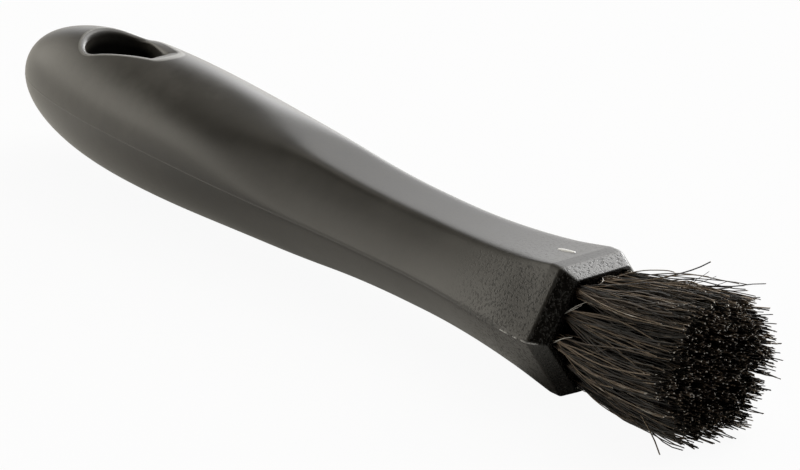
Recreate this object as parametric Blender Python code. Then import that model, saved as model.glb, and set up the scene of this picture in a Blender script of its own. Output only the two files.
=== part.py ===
"""Pipe brush: one moulded handle, nineteen bristle tufts and the flat wire anchors that hold them.

Lengths are in metres. The brush lies along X with its bristle tips at +X and Z up. It rests on
Z = 0 on the bottom flat of its head and on its grip, and X = 0 is halfway along the whole brush.
"""

import math
import random

import bmesh
import bpy

# The handle, from the head's rim to the end of the butt
HANDLE_LENGTH = 0.216
HEAD_WIDTH = 0.036  # across the two side corners
HEAD_HEIGHT = 0.0302  # across the top and bottom flats
RIM_LAND = 0.003  # straight band behind the rim
CHAMFER_LENGTH = 0.0043  # from the rim forward to the end face
CHAMFER_INSET = 0.0025  # inward at the side corners
NECK_WIDTH = 0.0287
NECK_HEIGHT = 0.0228
GRIP_WIDTH = 0.0336
GRIP_HEIGHT = 0.0352

# Places along the handle, as shares of its length from the rim
NECK_SHARE = 0.237
WIDEST_SHARE = 0.653
TALLEST_SHARE = 0.756
FACETS_FADE_SHARE = 0.4
ROUND_SHARE = 0.76

# Shape of the handle's outline and sections, pure numbers
FLAT_SHARE = 0.473  # the top flat's width over the head's width
FACET_SHARPNESS = 0.03  # 0 is a sharp hexagon, 1 an ellipse
WIDTH_FLARE_POWER = 0.82
HEIGHT_FLARE_POWER = 0.53
WIDTH_BUTT_POWER = 2.45
HEIGHT_BUTT_POWER = 2.32

# The hanging slot: a large and a small circle joined by tangents, cut through along Z
SLOT_LARGE_RADIUS = 0.0078
SLOT_SMALL_RADIUS = 0.003
SLOT_SPAN = 0.014  # between the two circles' centres
SLOT_SETBACK = 0.0349  # from the end of the butt to the large circle's centre
SLOT_LIP = 0.0014  # how far the sloping lip round each mouth widens the slot
SLOT_LIP_DEPTH = 0.0012
SLOT_SCOOP = 0.0053  # how much longer the lip is at the end toward the head
SLOT_SCOOP_DEPTH = 0.0017  # how deep it is there

# The holes and the tufts in them
HOLE_DIAMETER = 0.0044
HOLE_DEPTH = 0.012
HOLE_EDGE_WALL = 0.0006  # from the outermost holes to the edge of the end face
CLEARANCE = 0.0003
PLUG_RISE = 0.0008  # the tufts' bound roots stand proud of the end face
TUFT_ROWS = (3, 4, 5, 4, 3)

# The bristles
BRISTLE_LENGTH = 0.0397  # from the end face to the longest tip
TIP_UNEVENNESS = 0.005
BUNDLE_TIP_WIDTH = 0.0344  # across all the tips
BUNDLE_LIFT = 0.0027  # how far the tips bend up, clear of what the brush rests on
STRAND_RINGS_PER_TUFT = 2  # one strand, then 6, then 12 round it
STRAND_SIDES = 3
BEND_SHARE = 0.45  # of a strand's length, where its bend lies
BEND_SPREAD_SHARE = 0.62  # of the whole spread, reached at the bend
ROOT_PITCH_SHARE = 0.38  # of the plug's radius
ROOT_RADIUS_SHARE = 0.15  # of the plug's radius
TUFT_TIP_PITCH_SHARE = 0.4  # of half the bundle's width
STRAND_TIP_PITCH_SHARE = 0.0875  # of half the bundle's width
STRAND_TIP_RADIUS_SHARE = 0.031  # of half the bundle's width
TIP_JITTER_SHARE = 0.006  # of half the bundle's width

# The flat wire anchors, across Z through each tuft's fold
ANCHOR_THICKNESS = 0.00045
ANCHOR_WIDTH = 0.002
ANCHOR_BITE = 0.0005  # into the wall at each side of the hole
ANCHOR_SETBACK = 0.0016  # from the hole's floor to the anchor

# Mesh counts
SIDE_STEPS = 7
FLARE_RINGS = 8
SWELL_RINGS = 12
BUTT_RINGS = 11
HOLE_SIDES = 16
SLOT_END_STEPS = 9
RISE_STEPS = 84  # places along the swell at which the underside's height is looked at
SHARP_DEGREES = 30  # edges that turn more than this are shaded sharp

CUT_OVERRUN = 0.004  # how far cutters pass the faces that they open
LIPS_CUT = 1.6  # how many lips wide the slot's cutter grows, past the one that the surface meets

FACE_SCALE = 1.0 - CHAMFER_INSET / (HEAD_WIDTH / 2)
PLUG_RADIUS = HOLE_DIAMETER / 2 - CLEARANCE
OVERALL_LENGTH = HANDLE_LENGTH + CHAMFER_LENGTH + BRISTLE_LENGTH
RIM_X = HANDLE_LENGTH - OVERALL_LENGTH / 2
AXIS_Z = HEAD_HEIGHT / 2
ROW_RISE = math.sin(math.radians(60))  # height of an equilateral triangle of side 1


def smooth(value):
    """Rise from 0 to 1 with level ends."""
    value = min(max(value, 0.0), 1.0)
    return value * value * (3 - 2 * value)


def smoother(value):
    """Rise from 0 to 1 with level, uncurved ends."""
    value = min(max(value, 0.0), 1.0)
    return value**3 * (10 - 15 * value + 6 * value * value)


def half_size(share, rim, neck, grip, grip_share, flare_power, butt_power):
    """Half the handle's width or height at a share of its length from the rim."""
    land_share = RIM_LAND / HANDLE_LENGTH
    if share <= NECK_SHARE:
        along = max(share - land_share, 0.0) / (NECK_SHARE - land_share)
        return neck + (rim - neck) * (1 - smooth(along**flare_power))
    if share <= grip_share:
        return neck + (grip - neck) * smoother((share - NECK_SHARE) / (grip_share - NECK_SHARE))
    along = (share - grip_share) / (1 - grip_share)
    return grip * max(1 - along**butt_power, 0.0) ** (1 / butt_power)


def half_width(share):
    return half_size(
        share,
        HEAD_WIDTH / 2,
        NECK_WIDTH / 2,
        GRIP_WIDTH / 2,
        WIDEST_SHARE,
        WIDTH_FLARE_POWER,
        WIDTH_BUTT_POWER,
    )


def half_height(share):
    return half_size(
        share,
        HEAD_HEIGHT / 2,
        NECK_HEIGHT / 2,
        GRIP_HEIGHT / 2,
        TALLEST_SHARE,
        HEIGHT_FLARE_POWER,
        HEIGHT_BUTT_POWER,
    )


def full_rise():
    """How far the centre line climbs to the butt, so that the grip's underside is level with the rim's."""
    swell = TALLEST_SHARE - NECK_SHARE
    shares = [NECK_SHARE + swell * (i + 1) / RISE_STEPS for i in range(RISE_STEPS)]
    return max(0.0, max((half_height(s) - HEAD_HEIGHT / 2) / smooth(s) for s in shares))


FULL_RISE = full_rise()


def roundness(share):
    """0 is a sharp hexagon, 1 an ellipse."""
    fade = smooth((share - FACETS_FADE_SHARE) / (ROUND_SHARE - FACETS_FADE_SHARE))
    return FACET_SHARPNESS + (1 - FACET_SHARPNESS) * fade


def section_reach(cosine, sine, power):
    """Distance from the axis to the unit section, six edges long, whose corners the power rounds."""
    side = 1 - FLAT_SHARE
    norms = (abs(sine), abs(cosine + side * sine), abs(cosine - side * sine))
    largest = max(norms)
    return 1 / (largest * sum((n / largest) ** power for n in norms) ** (1 / power))


def section_points(x, share, scale=1.0):
    """Points round the handle's section, with one on each of the six corners."""
    power = 2 / roundness(share)
    width = half_width(share) * scale / section_reach(1, 0, power)
    height = half_height(share) * scale / section_reach(0, 1, power)
    centre = FULL_RISE * smooth(share)
    lean = math.atan2(1, FLAT_SHARE)
    corners = (0, lean, math.pi - lean, math.pi, math.pi + lean, math.tau - lean, math.tau)
    points = []
    for start, end in zip(corners, corners[1:]):
        for step in range(SIDE_STEPS):
            angle = start + (end - start) * step / SIDE_STEPS
            reach = section_reach(math.cos(angle), math.sin(angle), power)
            y = width * reach * math.cos(angle)
            z = height * reach * math.sin(angle) + centre
            points.append((x, y, z))
    return points


def ring_shares():
    """Shares of the handle's length at which its sections lie, without the end of the butt."""
    land_share = RIM_LAND / HANDLE_LENGTH
    shares = [0.0]
    shares += [land_share + (NECK_SHARE - land_share) * i / FLARE_RINGS for i in range(FLARE_RINGS)]
    shares += [NECK_SHARE + (TALLEST_SHARE - NECK_SHARE) * i / SWELL_RINGS for i in range(SWELL_RINGS)]
    for i in range(BUTT_RINGS):
        shares.append(TALLEST_SHARE + (1 - TALLEST_SHARE) * math.sin(math.pi / 2 * i / BUTT_RINGS))
    return shares


def loft(bm, rings):
    """Join rings of points into one skin, and return the rings' vertices."""
    rows = [[bm.verts.new(point) for point in ring] for ring in rings]
    for row, following in zip(rows, rows[1:]):
        for i in range(len(row)):
            j = (i + 1) % len(row)
            bm.faces.new((row[i], row[j], following[j], following[i]))
    return rows


def closed_mesh(name, bm):
    """Turn a closed skin's faces outward and keep it as a mesh."""
    bmesh.ops.recalc_face_normals(bm, faces=bm.faces)
    mesh = bpy.data.meshes.new(name)
    bm.to_mesh(mesh)
    bm.free()
    return mesh


def finish(name, colour, roughness_value, metallic=0.0):
    """A Principled material in one colour."""
    material = bpy.data.materials.new(name)
    material.use_nodes = True
    shader = material.node_tree.nodes["Principled BSDF"]
    shader.inputs["Base Color"].default_value = (*colour, 1)
    shader.inputs["Roughness"].default_value = roughness_value
    shader.inputs["Metallic"].default_value = metallic
    return material


def add_object(name, mesh, parent, location=(0, 0, 0), material=None):
    """Put a mesh in the scene under its parent."""
    piece = bpy.data.objects.new(name, mesh)
    bpy.context.collection.objects.link(piece)
    piece.parent = parent
    piece.location = location
    if material and not mesh.materials:
        mesh.materials.append(material)
    return piece


def add_cutter(name, mesh, parent):
    """Put a mesh in the scene that only cuts others."""
    cutter = add_object(name, mesh, parent)
    cutter.hide_render = True
    cutter.display_type = "WIRE"
    return cutter


def cut(piece, cutter, joins_itself=False):
    """Take the cutter out of the piece."""
    modifier = piece.modifiers.new(cutter.name, "BOOLEAN")
    modifier.operation = "DIFFERENCE"
    modifier.solver = "EXACT"
    modifier.use_self = joins_itself
    modifier.object = cutter


def handle_mesh():
    """The uncut handle: end face, chamfer, rim, flare, neck, grip and round butt."""
    bm = bmesh.new()
    rings = [section_points(CHAMFER_LENGTH, 0.0, FACE_SCALE)]
    rings += [section_points(-share * HANDLE_LENGTH, share) for share in ring_shares()]
    rows = loft(bm, rings)
    bm.faces.new(rows[0])
    tip = bm.verts.new((-HANDLE_LENGTH, 0, FULL_RISE))
    last = rows[-1]
    for i in range(len(last)):
        bm.faces.new((last[i], last[(i + 1) % len(last)], tip))
    mesh = closed_mesh("handle", bm)
    mesh.shade_smooth()
    mesh.set_sharp_from_angle(angle=math.radians(SHARP_DEGREES))
    return mesh


def slot_outline(widening):
    """The slot in plan, widened by so many lips: two arcs joined by tangents."""
    lip = SLOT_LIP * widening
    large_x = SLOT_SETBACK - HANDLE_LENGTH
    span = SLOT_SPAN + SLOT_SCOOP * widening
    lean = math.acos((SLOT_LARGE_RADIUS - SLOT_SMALL_RADIUS) / span)
    arcs = (
        (large_x, SLOT_LARGE_RADIUS + lip, lean, math.tau - lean),
        (large_x + span, SLOT_SMALL_RADIUS + lip, -lean, lean),
    )
    points = []
    for centre, radius, start, end in arcs:
        for step in range(SLOT_END_STEPS + 1):
            angle = start + (end - start) * step / SLOT_END_STEPS
            points.append((centre + radius * math.cos(angle), radius * math.sin(angle)))
    return points


def surface_height(x, y, side):
    """Height of the round part of the handle above a plan point, on its top (1) or bottom (-1)."""
    share = -x / HANDLE_LENGTH
    across = min(abs(y) / half_width(share), 1.0)
    return FULL_RISE * smooth(share) + side * half_height(share) * math.sqrt(1 - across**2)


def lip_depth(x):
    """Depth of the lip at a place along the slot."""
    along = (x + HANDLE_LENGTH - SLOT_SETBACK) / SLOT_SPAN
    return SLOT_LIP_DEPTH + (SLOT_SCOOP_DEPTH - SLOT_LIP_DEPTH) * smooth(along)


def slot_ring(widening, side):
    """A ring of the slot's cutter: a lip's depth inside the surface, on it at 1 lip, outside past that."""
    ring = []
    for x, y in slot_outline(widening):
        climb = (widening - 1) * lip_depth(x)
        ring.append((x, y, surface_height(x, y, side) + side * climb))
    return ring


def slot_cutter_mesh():
    """A plug through the slot whose ends widen along the lips until they are past the surface."""
    beyond = GRIP_HEIGHT / 2 + FULL_RISE + CUT_OVERRUN
    wide = slot_outline(LIPS_CUT)
    rings = [
        [(x, y, -beyond) for x, y in wide],
        slot_ring(LIPS_CUT, -1),
        slot_ring(0, -1),
        slot_ring(0, 1),
        slot_ring(LIPS_CUT, 1),
        [(x, y, beyond) for x, y in wide],
    ]
    bm = bmesh.new()
    rows = loft(bm, rings)
    bm.faces.new(rows[0])
    bm.faces.new(rows[-1])
    return closed_mesh("slot_cutter", bm)


def tuft_pitch():
    """Distance between neighbouring holes: the largest that keeps them inside the end face."""
    keep_off = HOLE_DIAMETER / 2 + HOLE_EDGE_WALL
    half_rows = (len(TUFT_ROWS) - 1) / 2
    by_height = (FACE_SCALE * HEAD_HEIGHT / 2 - keep_off) / (half_rows * ROW_RISE)
    by_width = (FACE_SCALE * HEAD_WIDTH / 2 - keep_off / ROW_RISE) / half_rows
    return min(by_height, by_width)


def lattice(pitch):
    """The tufts' places across the head, row by row from the bottom, as (y, z) pairs."""
    middle = (len(TUFT_ROWS) - 1) / 2
    places = []
    for row, count in enumerate(TUFT_ROWS):
        for i in range(count):
            y = (i - (count - 1) / 2) * pitch
            z = (row - middle) * ROW_RISE * pitch
            places.append((y, z))
    return places


def disc_ring(x, radius, y=0.0, z=0.0):
    """A round ring that faces along X."""
    angles = [math.tau * i / HOLE_SIDES for i in range(HOLE_SIDES)]
    return [(x, y + radius * math.cos(a), z + radius * math.sin(a)) for a in angles]


def holes_cutter_mesh():
    """Nineteen round plugs, one for each tuft's hole."""
    bm = bmesh.new()
    floor = CHAMFER_LENGTH - HOLE_DEPTH
    mouth = CHAMFER_LENGTH + CUT_OVERRUN
    for y, z in lattice(tuft_pitch()):
        radius = HOLE_DIAMETER / 2
        rows = loft(bm, [disc_ring(floor, radius, y, z), disc_ring(mouth, radius, y, z)])
        bm.faces.new(rows[0])
        bm.faces.new(rows[1])
    return closed_mesh("holes_cutter", bm)


def anchor_middle():
    """The anchors' place along X, measured from the rim."""
    return CHAMFER_LENGTH - HOLE_DEPTH + ANCHOR_SETBACK + ANCHOR_WIDTH / 2


def add_anchor_box(bm, x, y, z, grow):
    """One flat anchor, or the space round it, as a box."""
    made = bmesh.ops.create_cube(bm, size=1)
    sizes = (
        ANCHOR_WIDTH + 2 * grow,
        ANCHOR_THICKNESS + 2 * grow,
        HOLE_DIAMETER + 2 * ANCHOR_BITE + 2 * grow,
    )
    bmesh.ops.scale(bm, vec=sizes, verts=made["verts"])
    bmesh.ops.translate(bm, vec=(x, y, z), verts=made["verts"])


def anchor_space_mesh():
    """The spaces that the anchors need, in the handle's walls and in the tufts' folds alike."""
    bm = bmesh.new()
    for y, z in lattice(tuft_pitch()):
        add_anchor_box(bm, anchor_middle(), y, z, CLEARANCE)
    return closed_mesh("anchor_space", bm)


def anchor_mesh():
    bm = bmesh.new()
    add_anchor_box(bm, 0, 0, 0, 0)
    return closed_mesh("wire_anchor", bm)


def hexagon_spots():
    """Places of one tuft's strands in units of their pitch, the middle one first."""
    spots = [(0.0, 0.0)]
    for ring in range(1, STRAND_RINGS_PER_TUFT + 1):
        for side in range(6):
            turn = math.radians(30 + 60 * side)
            onward = turn + math.radians(120)
            for step in range(ring):
                y = ring * math.cos(turn) + step * math.cos(onward)
                z = ring * math.sin(turn) + step * math.sin(onward)
                spots.append((y, z))
    return spots


def strand_ring(x, y, z, radius, turn):
    angles = [turn + math.tau * i / STRAND_SIDES for i in range(STRAND_SIDES)]
    return [(x, y + radius * math.cos(a), z + radius * math.sin(a)) for a in angles]


def strand_course(cut):
    """Share of the length, spread and lift at a strand's root, bend and tip.

    All strands follow one course and only end at different places, so that they never cross.
    """
    past_bend = (cut - BEND_SHARE) / (1 - BEND_SHARE)
    bend_lift = BEND_SHARE**2
    tip_spread = BEND_SPREAD_SHARE + (1 - BEND_SPREAD_SHARE) * past_bend
    tip_lift = bend_lift + (1 - bend_lift) * past_bend
    return (0, 0, 0), (BEND_SHARE, BEND_SPREAD_SHARE, bend_lift), (cut, tip_spread, tip_lift)


def add_strand(bm, spot, drift, length, jitter, turn):
    """One strand from inside the plug to its cut tip, spreading with its tuft."""
    half_bundle = BUNDLE_TIP_WIDTH / 2
    rings = []
    for along, spread, lift in strand_course(length / BRISTLE_LENGTH):
        root_pitch = ROOT_PITCH_SHARE * PLUG_RADIUS
        pitch = root_pitch + (STRAND_TIP_PITCH_SHARE * half_bundle - root_pitch) * spread
        root_radius = ROOT_RADIUS_SHARE * PLUG_RADIUS
        radius = root_radius + (STRAND_TIP_RADIUS_SHARE * half_bundle - root_radius) * spread
        y = spot[0] * pitch + (drift[0] + jitter[0]) * spread
        z = spot[1] * pitch + (drift[1] + jitter[1]) * spread + BUNDLE_LIFT * lift
        rings.append(strand_ring(along * BRISTLE_LENGTH, y, z, radius, turn))
    rows = loft(bm, rings)
    bm.faces.new(rows[0])
    bm.faces.new(rows[-1])


def tuft_mesh(index, drift):
    """A bound plug of folded hair and its free strands, with the end face at X = 0."""
    bm = bmesh.new()
    rows = loft(bm, [disc_ring(CLEARANCE - HOLE_DEPTH, PLUG_RADIUS), disc_ring(PLUG_RISE, PLUG_RADIUS)])
    bm.faces.new(rows[0])
    bm.faces.new(rows[1])
    draw = random.Random(index)
    reach = TIP_JITTER_SHARE * BUNDLE_TIP_WIDTH / 2
    longest = index == sum(TUFT_ROWS) // 2
    for number, spot in enumerate(hexagon_spots()):
        trim = 0 if longest and number == 0 else TIP_UNEVENNESS * draw.random()
        jitter = (reach * draw.uniform(-1, 1), reach * draw.uniform(-1, 1))
        add_strand(bm, spot, drift, BRISTLE_LENGTH - trim, jitter, math.tau * draw.random())
    return closed_mesh(f"bristle_tuft_{index + 1:02d}", bm)


def clear_scene():
    for old in list(bpy.data.objects):
        bpy.data.objects.remove(old, do_unlink=True)


def build_brush():
    clear_scene()
    plastic = finish("black_plastic", (0.022, 0.021, 0.02), 0.42)
    hair = finish("dark_hair", (0.035, 0.026, 0.02), 0.55)
    steel = finish("anchor_steel", (0.55, 0.55, 0.56), 0.3, 1.0)

    rim = bpy.data.objects.new("rim_centre", None)
    bpy.context.collection.objects.link(rim)
    rim.location = (RIM_X, 0, AXIS_Z)

    handle = add_object("handle", handle_mesh(), rim, material=plastic)
    anchor_space = add_cutter("anchor_space", anchor_space_mesh(), rim)
    cut(handle, add_cutter("slot_cutter", slot_cutter_mesh(), rim))
    cut(handle, add_cutter("holes_cutter", holes_cutter_mesh(), rim))
    cut(handle, anchor_space)

    roots = lattice(tuft_pitch())
    tips = lattice(TUFT_TIP_PITCH_SHARE * BUNDLE_TIP_WIDTH / 2)
    wire = anchor_mesh()
    for index, (root, tip) in enumerate(zip(roots, tips)):
        drift = (tip[0] - root[0], tip[1] - root[1])
        mesh = tuft_mesh(index, drift)
        tuft = add_object(mesh.name, mesh, rim, (CHAMFER_LENGTH, *root), hair)
        cut(tuft, anchor_space, joins_itself=True)
        add_object(f"wire_anchor_{index + 1:02d}", wire, rim, (anchor_middle(), *root), steel)


build_brush()
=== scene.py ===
"""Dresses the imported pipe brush: its moulded handle, its folded natural hair, and a pale studio.

Lengths are in metres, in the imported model's frame: +X toward the bristle tips, +Z up, floor at 0.
"""

import logging
import math
from dataclasses import dataclass
from enum import Enum
from typing import Sequence

import bmesh
import bpy
import numpy as np
from mathutils import Matrix, Vector


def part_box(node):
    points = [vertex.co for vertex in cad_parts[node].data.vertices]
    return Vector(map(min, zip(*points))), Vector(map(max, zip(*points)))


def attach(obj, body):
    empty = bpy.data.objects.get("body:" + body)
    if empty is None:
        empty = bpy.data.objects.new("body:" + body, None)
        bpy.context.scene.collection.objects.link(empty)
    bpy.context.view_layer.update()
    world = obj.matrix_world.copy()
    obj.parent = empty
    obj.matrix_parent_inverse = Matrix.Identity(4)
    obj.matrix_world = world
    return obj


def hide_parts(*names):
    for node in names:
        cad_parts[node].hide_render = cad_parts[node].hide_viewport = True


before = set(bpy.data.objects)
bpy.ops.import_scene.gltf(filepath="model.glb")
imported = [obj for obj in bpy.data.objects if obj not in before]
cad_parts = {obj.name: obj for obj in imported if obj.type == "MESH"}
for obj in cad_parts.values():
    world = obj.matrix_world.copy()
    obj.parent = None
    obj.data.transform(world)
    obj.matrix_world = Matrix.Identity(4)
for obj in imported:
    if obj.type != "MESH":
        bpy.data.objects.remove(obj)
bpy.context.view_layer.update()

LOG = logging.getLogger("pipe_brush")
MM = 0.001
TINY = 1e-12
NOISE_MIDDLE = 0.5

Colour = tuple[float, float, float]
Stops = tuple[tuple[float, Colour], ...]
Pair = tuple[float, float]
Point = tuple[float, float, float]
Face = tuple[int, ...]
Loop = tuple[np.ndarray, np.ndarray]
Value = bpy.types.NodeSocket | float

WHITE: Colour = (1.0, 1.0, 1.0)
WARM: Colour = (1.0, 0.955, 0.85)


class Side(Enum):
    """The two mouths of the hanging slot."""

    TOP = 1
    BOTTOM = -1


class Slot(Enum):
    """The record's material slots of the pieces made here."""

    PLASTIC = "black_plastic"
    HAIR = "dark_hair"


def smooth(value: np.ndarray) -> np.ndarray:
    """Rise from 0 to 1 with level ends."""
    value = np.clip(value, 0.0, 1.0)
    return value * value * (3 - 2 * value)


def smoother(value: np.ndarray) -> np.ndarray:
    """Rise from 0 to 1 with level, uncurved ends."""
    value = np.clip(value, 0.0, 1.0)
    return value**3 * (10 - 15 * value + 6 * value * value)


def fillet(before: Sequence[float], corner: Sequence[float], after: Sequence[float],
           radius: float, steps: int) -> list[Pair]:
    """Round a corner of a profile.

    Args:
        before: A profile point ahead of the corner.
        corner: The corner itself.
        after: A profile point past the corner.
        radius: How far from the corner the round begins and ends.
        steps: How many stretches the round has.

    Returns:
        The points of the round, first to last.
    """
    middle = np.asarray(corner, float)
    back = np.asarray(before, float) - middle
    onward = np.asarray(after, float) - middle
    start = middle + radius * back / np.linalg.norm(back)
    end = middle + radius * onward / np.linalg.norm(onward)
    points = []
    for t in np.linspace(0, 1, steps + 1):
        points.append(tuple((1 - t) ** 2 * start + 2 * t * (1 - t) * middle + t * t * end))
    return points


def value_noise(places: np.ndarray, seed: int, grains: int = 512) -> np.ndarray:
    """Smooth noise along a line, the same for the same seed.

    Args:
        places: Where it is wanted, with one grain to a unit.
        seed: Which noise.
        grains: How many grains there are before it repeats.

    Returns:
        A number between -1 and 1 for each place.
    """
    table = np.random.default_rng(seed).uniform(-1, 1, grains)
    cell = np.floor(places).astype(int)
    part = smooth(places - cell)
    return table[cell % grains] * (1 - part) + table[(cell + 1) % grains] * part


def new_mesh_object(name: str, vertices: np.ndarray,
                    faces: Sequence[Sequence[int]]) -> bpy.types.Object:
    """Put a mesh in the scene.

    Args:
        name: The object's name.
        vertices: One row of X, Y and Z for each vertex.
        faces: Vertex numbers of each face.

    Returns:
        The new object.
    """
    mesh = bpy.data.meshes.new(name)
    mesh.from_pydata(vertices.tolist(), [], [tuple(face) for face in faces])
    mesh.update()
    piece = bpy.data.objects.new(name, mesh)
    bpy.context.scene.collection.objects.link(piece)
    return piece


def set_share(piece: bpy.types.Object, name: str, values: np.ndarray) -> None:
    """Keep one number for each vertex, which a finish can read."""
    attribute = piece.data.attributes.new(name, "FLOAT", "POINT")
    attribute.data.foreach_set("value", values.astype(np.float32))


def mark_vertices(piece: bpy.types.Object, name: str, numbers: slice | list[int]) -> None:
    """Keep 1 at some vertices and 0 at the rest.

    Args:
        piece: The piece.
        name: What a finish reads the numbers by.
        numbers: Which vertices.
    """
    values = np.zeros(len(piece.data.vertices))
    values[numbers] = 1.0
    set_share(piece, name, values)


class MeshDraft:
    """Gathers the vertices and faces of one mesh."""

    def __init__(self) -> None:
        """Start empty."""
        self.points: list[np.ndarray] = []
        self.faces: list[Face] = []
        self.count = 0

    def add(self, points: np.ndarray) -> np.ndarray:
        """Add vertices.

        Args:
            points: One row of X, Y and Z for each.

        Returns:
            Their numbers.
        """
        self.points.append(points)
        self.count += len(points)
        return np.arange(self.count - len(points), self.count)

    def join(self, upper: np.ndarray, lower: np.ndarray) -> None:
        """Skin two closed rings of vertex numbers."""
        quads = np.stack([upper, np.roll(upper, -1), np.roll(lower, -1), lower], -1)
        self.faces.extend(map(tuple, quads))

    def piece(self, name: str) -> bpy.types.Object:
        """Put the mesh in the scene."""
        return new_mesh_object(name, np.concatenate(self.points), self.faces)


@dataclass(frozen=True)
class Grain:
    """Noise in a finish: how wide its grains are, how many finer layers it has, and how rough."""

    size: float
    detail: float = 2.0
    roughness: float = 0.5


@dataclass(frozen=True)
class Relief:
    """How deep the bumps of a finish are, and how strongly they show."""

    depth: float
    strength: float


class NodeTree:
    """A short way to add nodes and links to a material or world."""

    def __init__(self, tree: bpy.types.NodeTree) -> None:
        """Start from an empty tree."""
        self.tree = tree
        tree.nodes.clear()

    def add(self, kind: str, **values: object) -> bpy.types.Node:
        """Add a node.

        Args:
            kind: The node's type name.
            **values: Properties of the node, by name.

        Returns:
            The node.
        """
        node = self.tree.nodes.new(kind)
        for name, value in values.items():
            setattr(node, name, value)
        return node

    def link(self, start: bpy.types.NodeSocket, end: bpy.types.NodeSocket) -> None:
        """Join an output to an input."""
        self.tree.links.new(start, end)

    def math(self, operation: str, first: Value, second: Value,
             clamp: bool = False) -> bpy.types.NodeSocket:
        """Add a Math node.

        Args:
            operation: Its operation.
            first: A socket or a number.
            second: A socket or a number.
            clamp: Whether its result stays between 0 and 1.

        Returns:
            Its output.
        """
        node = self.add("ShaderNodeMath", operation=operation, use_clamp=clamp)
        for place, value in enumerate((first, second)):
            if isinstance(value, bpy.types.NodeSocket):
                self.link(value, node.inputs[place])
            else:
                node.inputs[place].default_value = value
        return node.outputs[0]

    def scaled(self, value: bpy.types.NodeSocket, factor: float) -> bpy.types.NodeSocket:
        """Multiply a value by a number."""
        return self.math("MULTIPLY", value, factor)

    def remap(self, value: bpy.types.NodeSocket, low: float, high: float,
              to_low: float, to_high: float) -> bpy.types.NodeSocket:
        """Map a range of a value onto another, clamped and smooth.

        Args:
            value: The value.
            low: Where the range begins.
            high: Where it ends.
            to_low: What its beginning becomes.
            to_high: What its end becomes.

        Returns:
            The mapped value.
        """
        node = self.add("ShaderNodeMapRange", interpolation_type="SMOOTHSTEP")
        self.link(value, node.inputs["Value"])
        node.inputs["From Min"].default_value = low
        node.inputs["From Max"].default_value = high
        node.inputs["To Min"].default_value = to_low
        node.inputs["To Max"].default_value = to_high
        return node.outputs["Result"]

    def noise(self, place: bpy.types.NodeSocket, grain: Grain) -> bpy.types.NodeSocket:
        """Add noise.

        Args:
            place: Where on the piece.
            grain: How wide and rough its grains are.

        Returns:
            The noise, about NOISE_MIDDLE.
        """
        node = self.add("ShaderNodeTexNoise")
        self.link(place, node.inputs["Vector"])
        node.inputs["Scale"].default_value = 1.0 / grain.size
        node.inputs["Detail"].default_value = grain.detail
        node.inputs["Roughness"].default_value = grain.roughness
        return node.outputs["Fac"]

    def share(self, name: str) -> bpy.types.NodeSocket:
        """Read a number kept at each vertex."""
        return self.add("ShaderNodeAttribute", attribute_name=name).outputs["Fac"]

    def ramp(self, value: bpy.types.NodeSocket, stops: Stops) -> bpy.types.NodeSocket:
        """Colour a value.

        Args:
            value: The value.
            stops: Pairs of a value and its colour, lowest first.

        Returns:
            The colour.
        """
        node = self.add("ShaderNodeValToRGB")
        self.link(value, node.inputs["Fac"])
        band = node.color_ramp.elements
        while len(band) < len(stops):
            band.new(0.5)
        for element, (place, colour) in zip(band, stops):
            element.position = place
            element.color = (*colour, 1)
        return node.outputs["Color"]

    def blend(self, factor: bpy.types.NodeSocket, first: bpy.types.NodeSocket | Colour,
              second: Colour) -> bpy.types.NodeSocket:
        """Mix two colours.

        Args:
            factor: How much of the second shows.
            first: A socket or a colour.
            second: A colour.

        Returns:
            The mixed colour.
        """
        node = self.add("ShaderNodeMix", data_type="RGBA")
        self.link(factor, node.inputs["Factor"])
        if isinstance(first, bpy.types.NodeSocket):
            self.link(first, node.inputs["A"])
        else:
            node.inputs["A"].default_value = (*first, 1)
        node.inputs["B"].default_value = (*second, 1)
        return node.outputs["Result"]

    def bump(self, height: bpy.types.NodeSocket, relief: Relief,
             below: bpy.types.NodeSocket | None = None) -> bpy.types.NodeSocket:
        """Tilt the surface by a height.

        Args:
            height: The height, 0 to 1.
            relief: How deep and strong the bumps are.
            below: An earlier bump that this one lies over.

        Returns:
            The tilted normal.
        """
        node = self.add("ShaderNodeBump")
        node.inputs["Distance"].default_value = relief.depth
        node.inputs["Strength"].default_value = relief.strength
        self.link(height, node.inputs["Height"])
        if below is not None:
            self.link(below, node.inputs["Normal"])
        return node.outputs["Normal"]


def new_material(name: str) -> tuple[bpy.types.Material, NodeTree, bpy.types.Node]:
    """Make a material with one Principled shader.

    Args:
        name: The material's name.

    Returns:
        The material, its tree and its shader.
    """
    material = bpy.data.materials.new(name)
    material.use_nodes = True
    nodes = NodeTree(material.node_tree)
    shader = nodes.add("ShaderNodeBsdfPrincipled")
    output = nodes.add("ShaderNodeOutputMaterial")
    nodes.link(shader.outputs["BSDF"], output.inputs["Surface"])
    return material, nodes, shader


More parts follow.
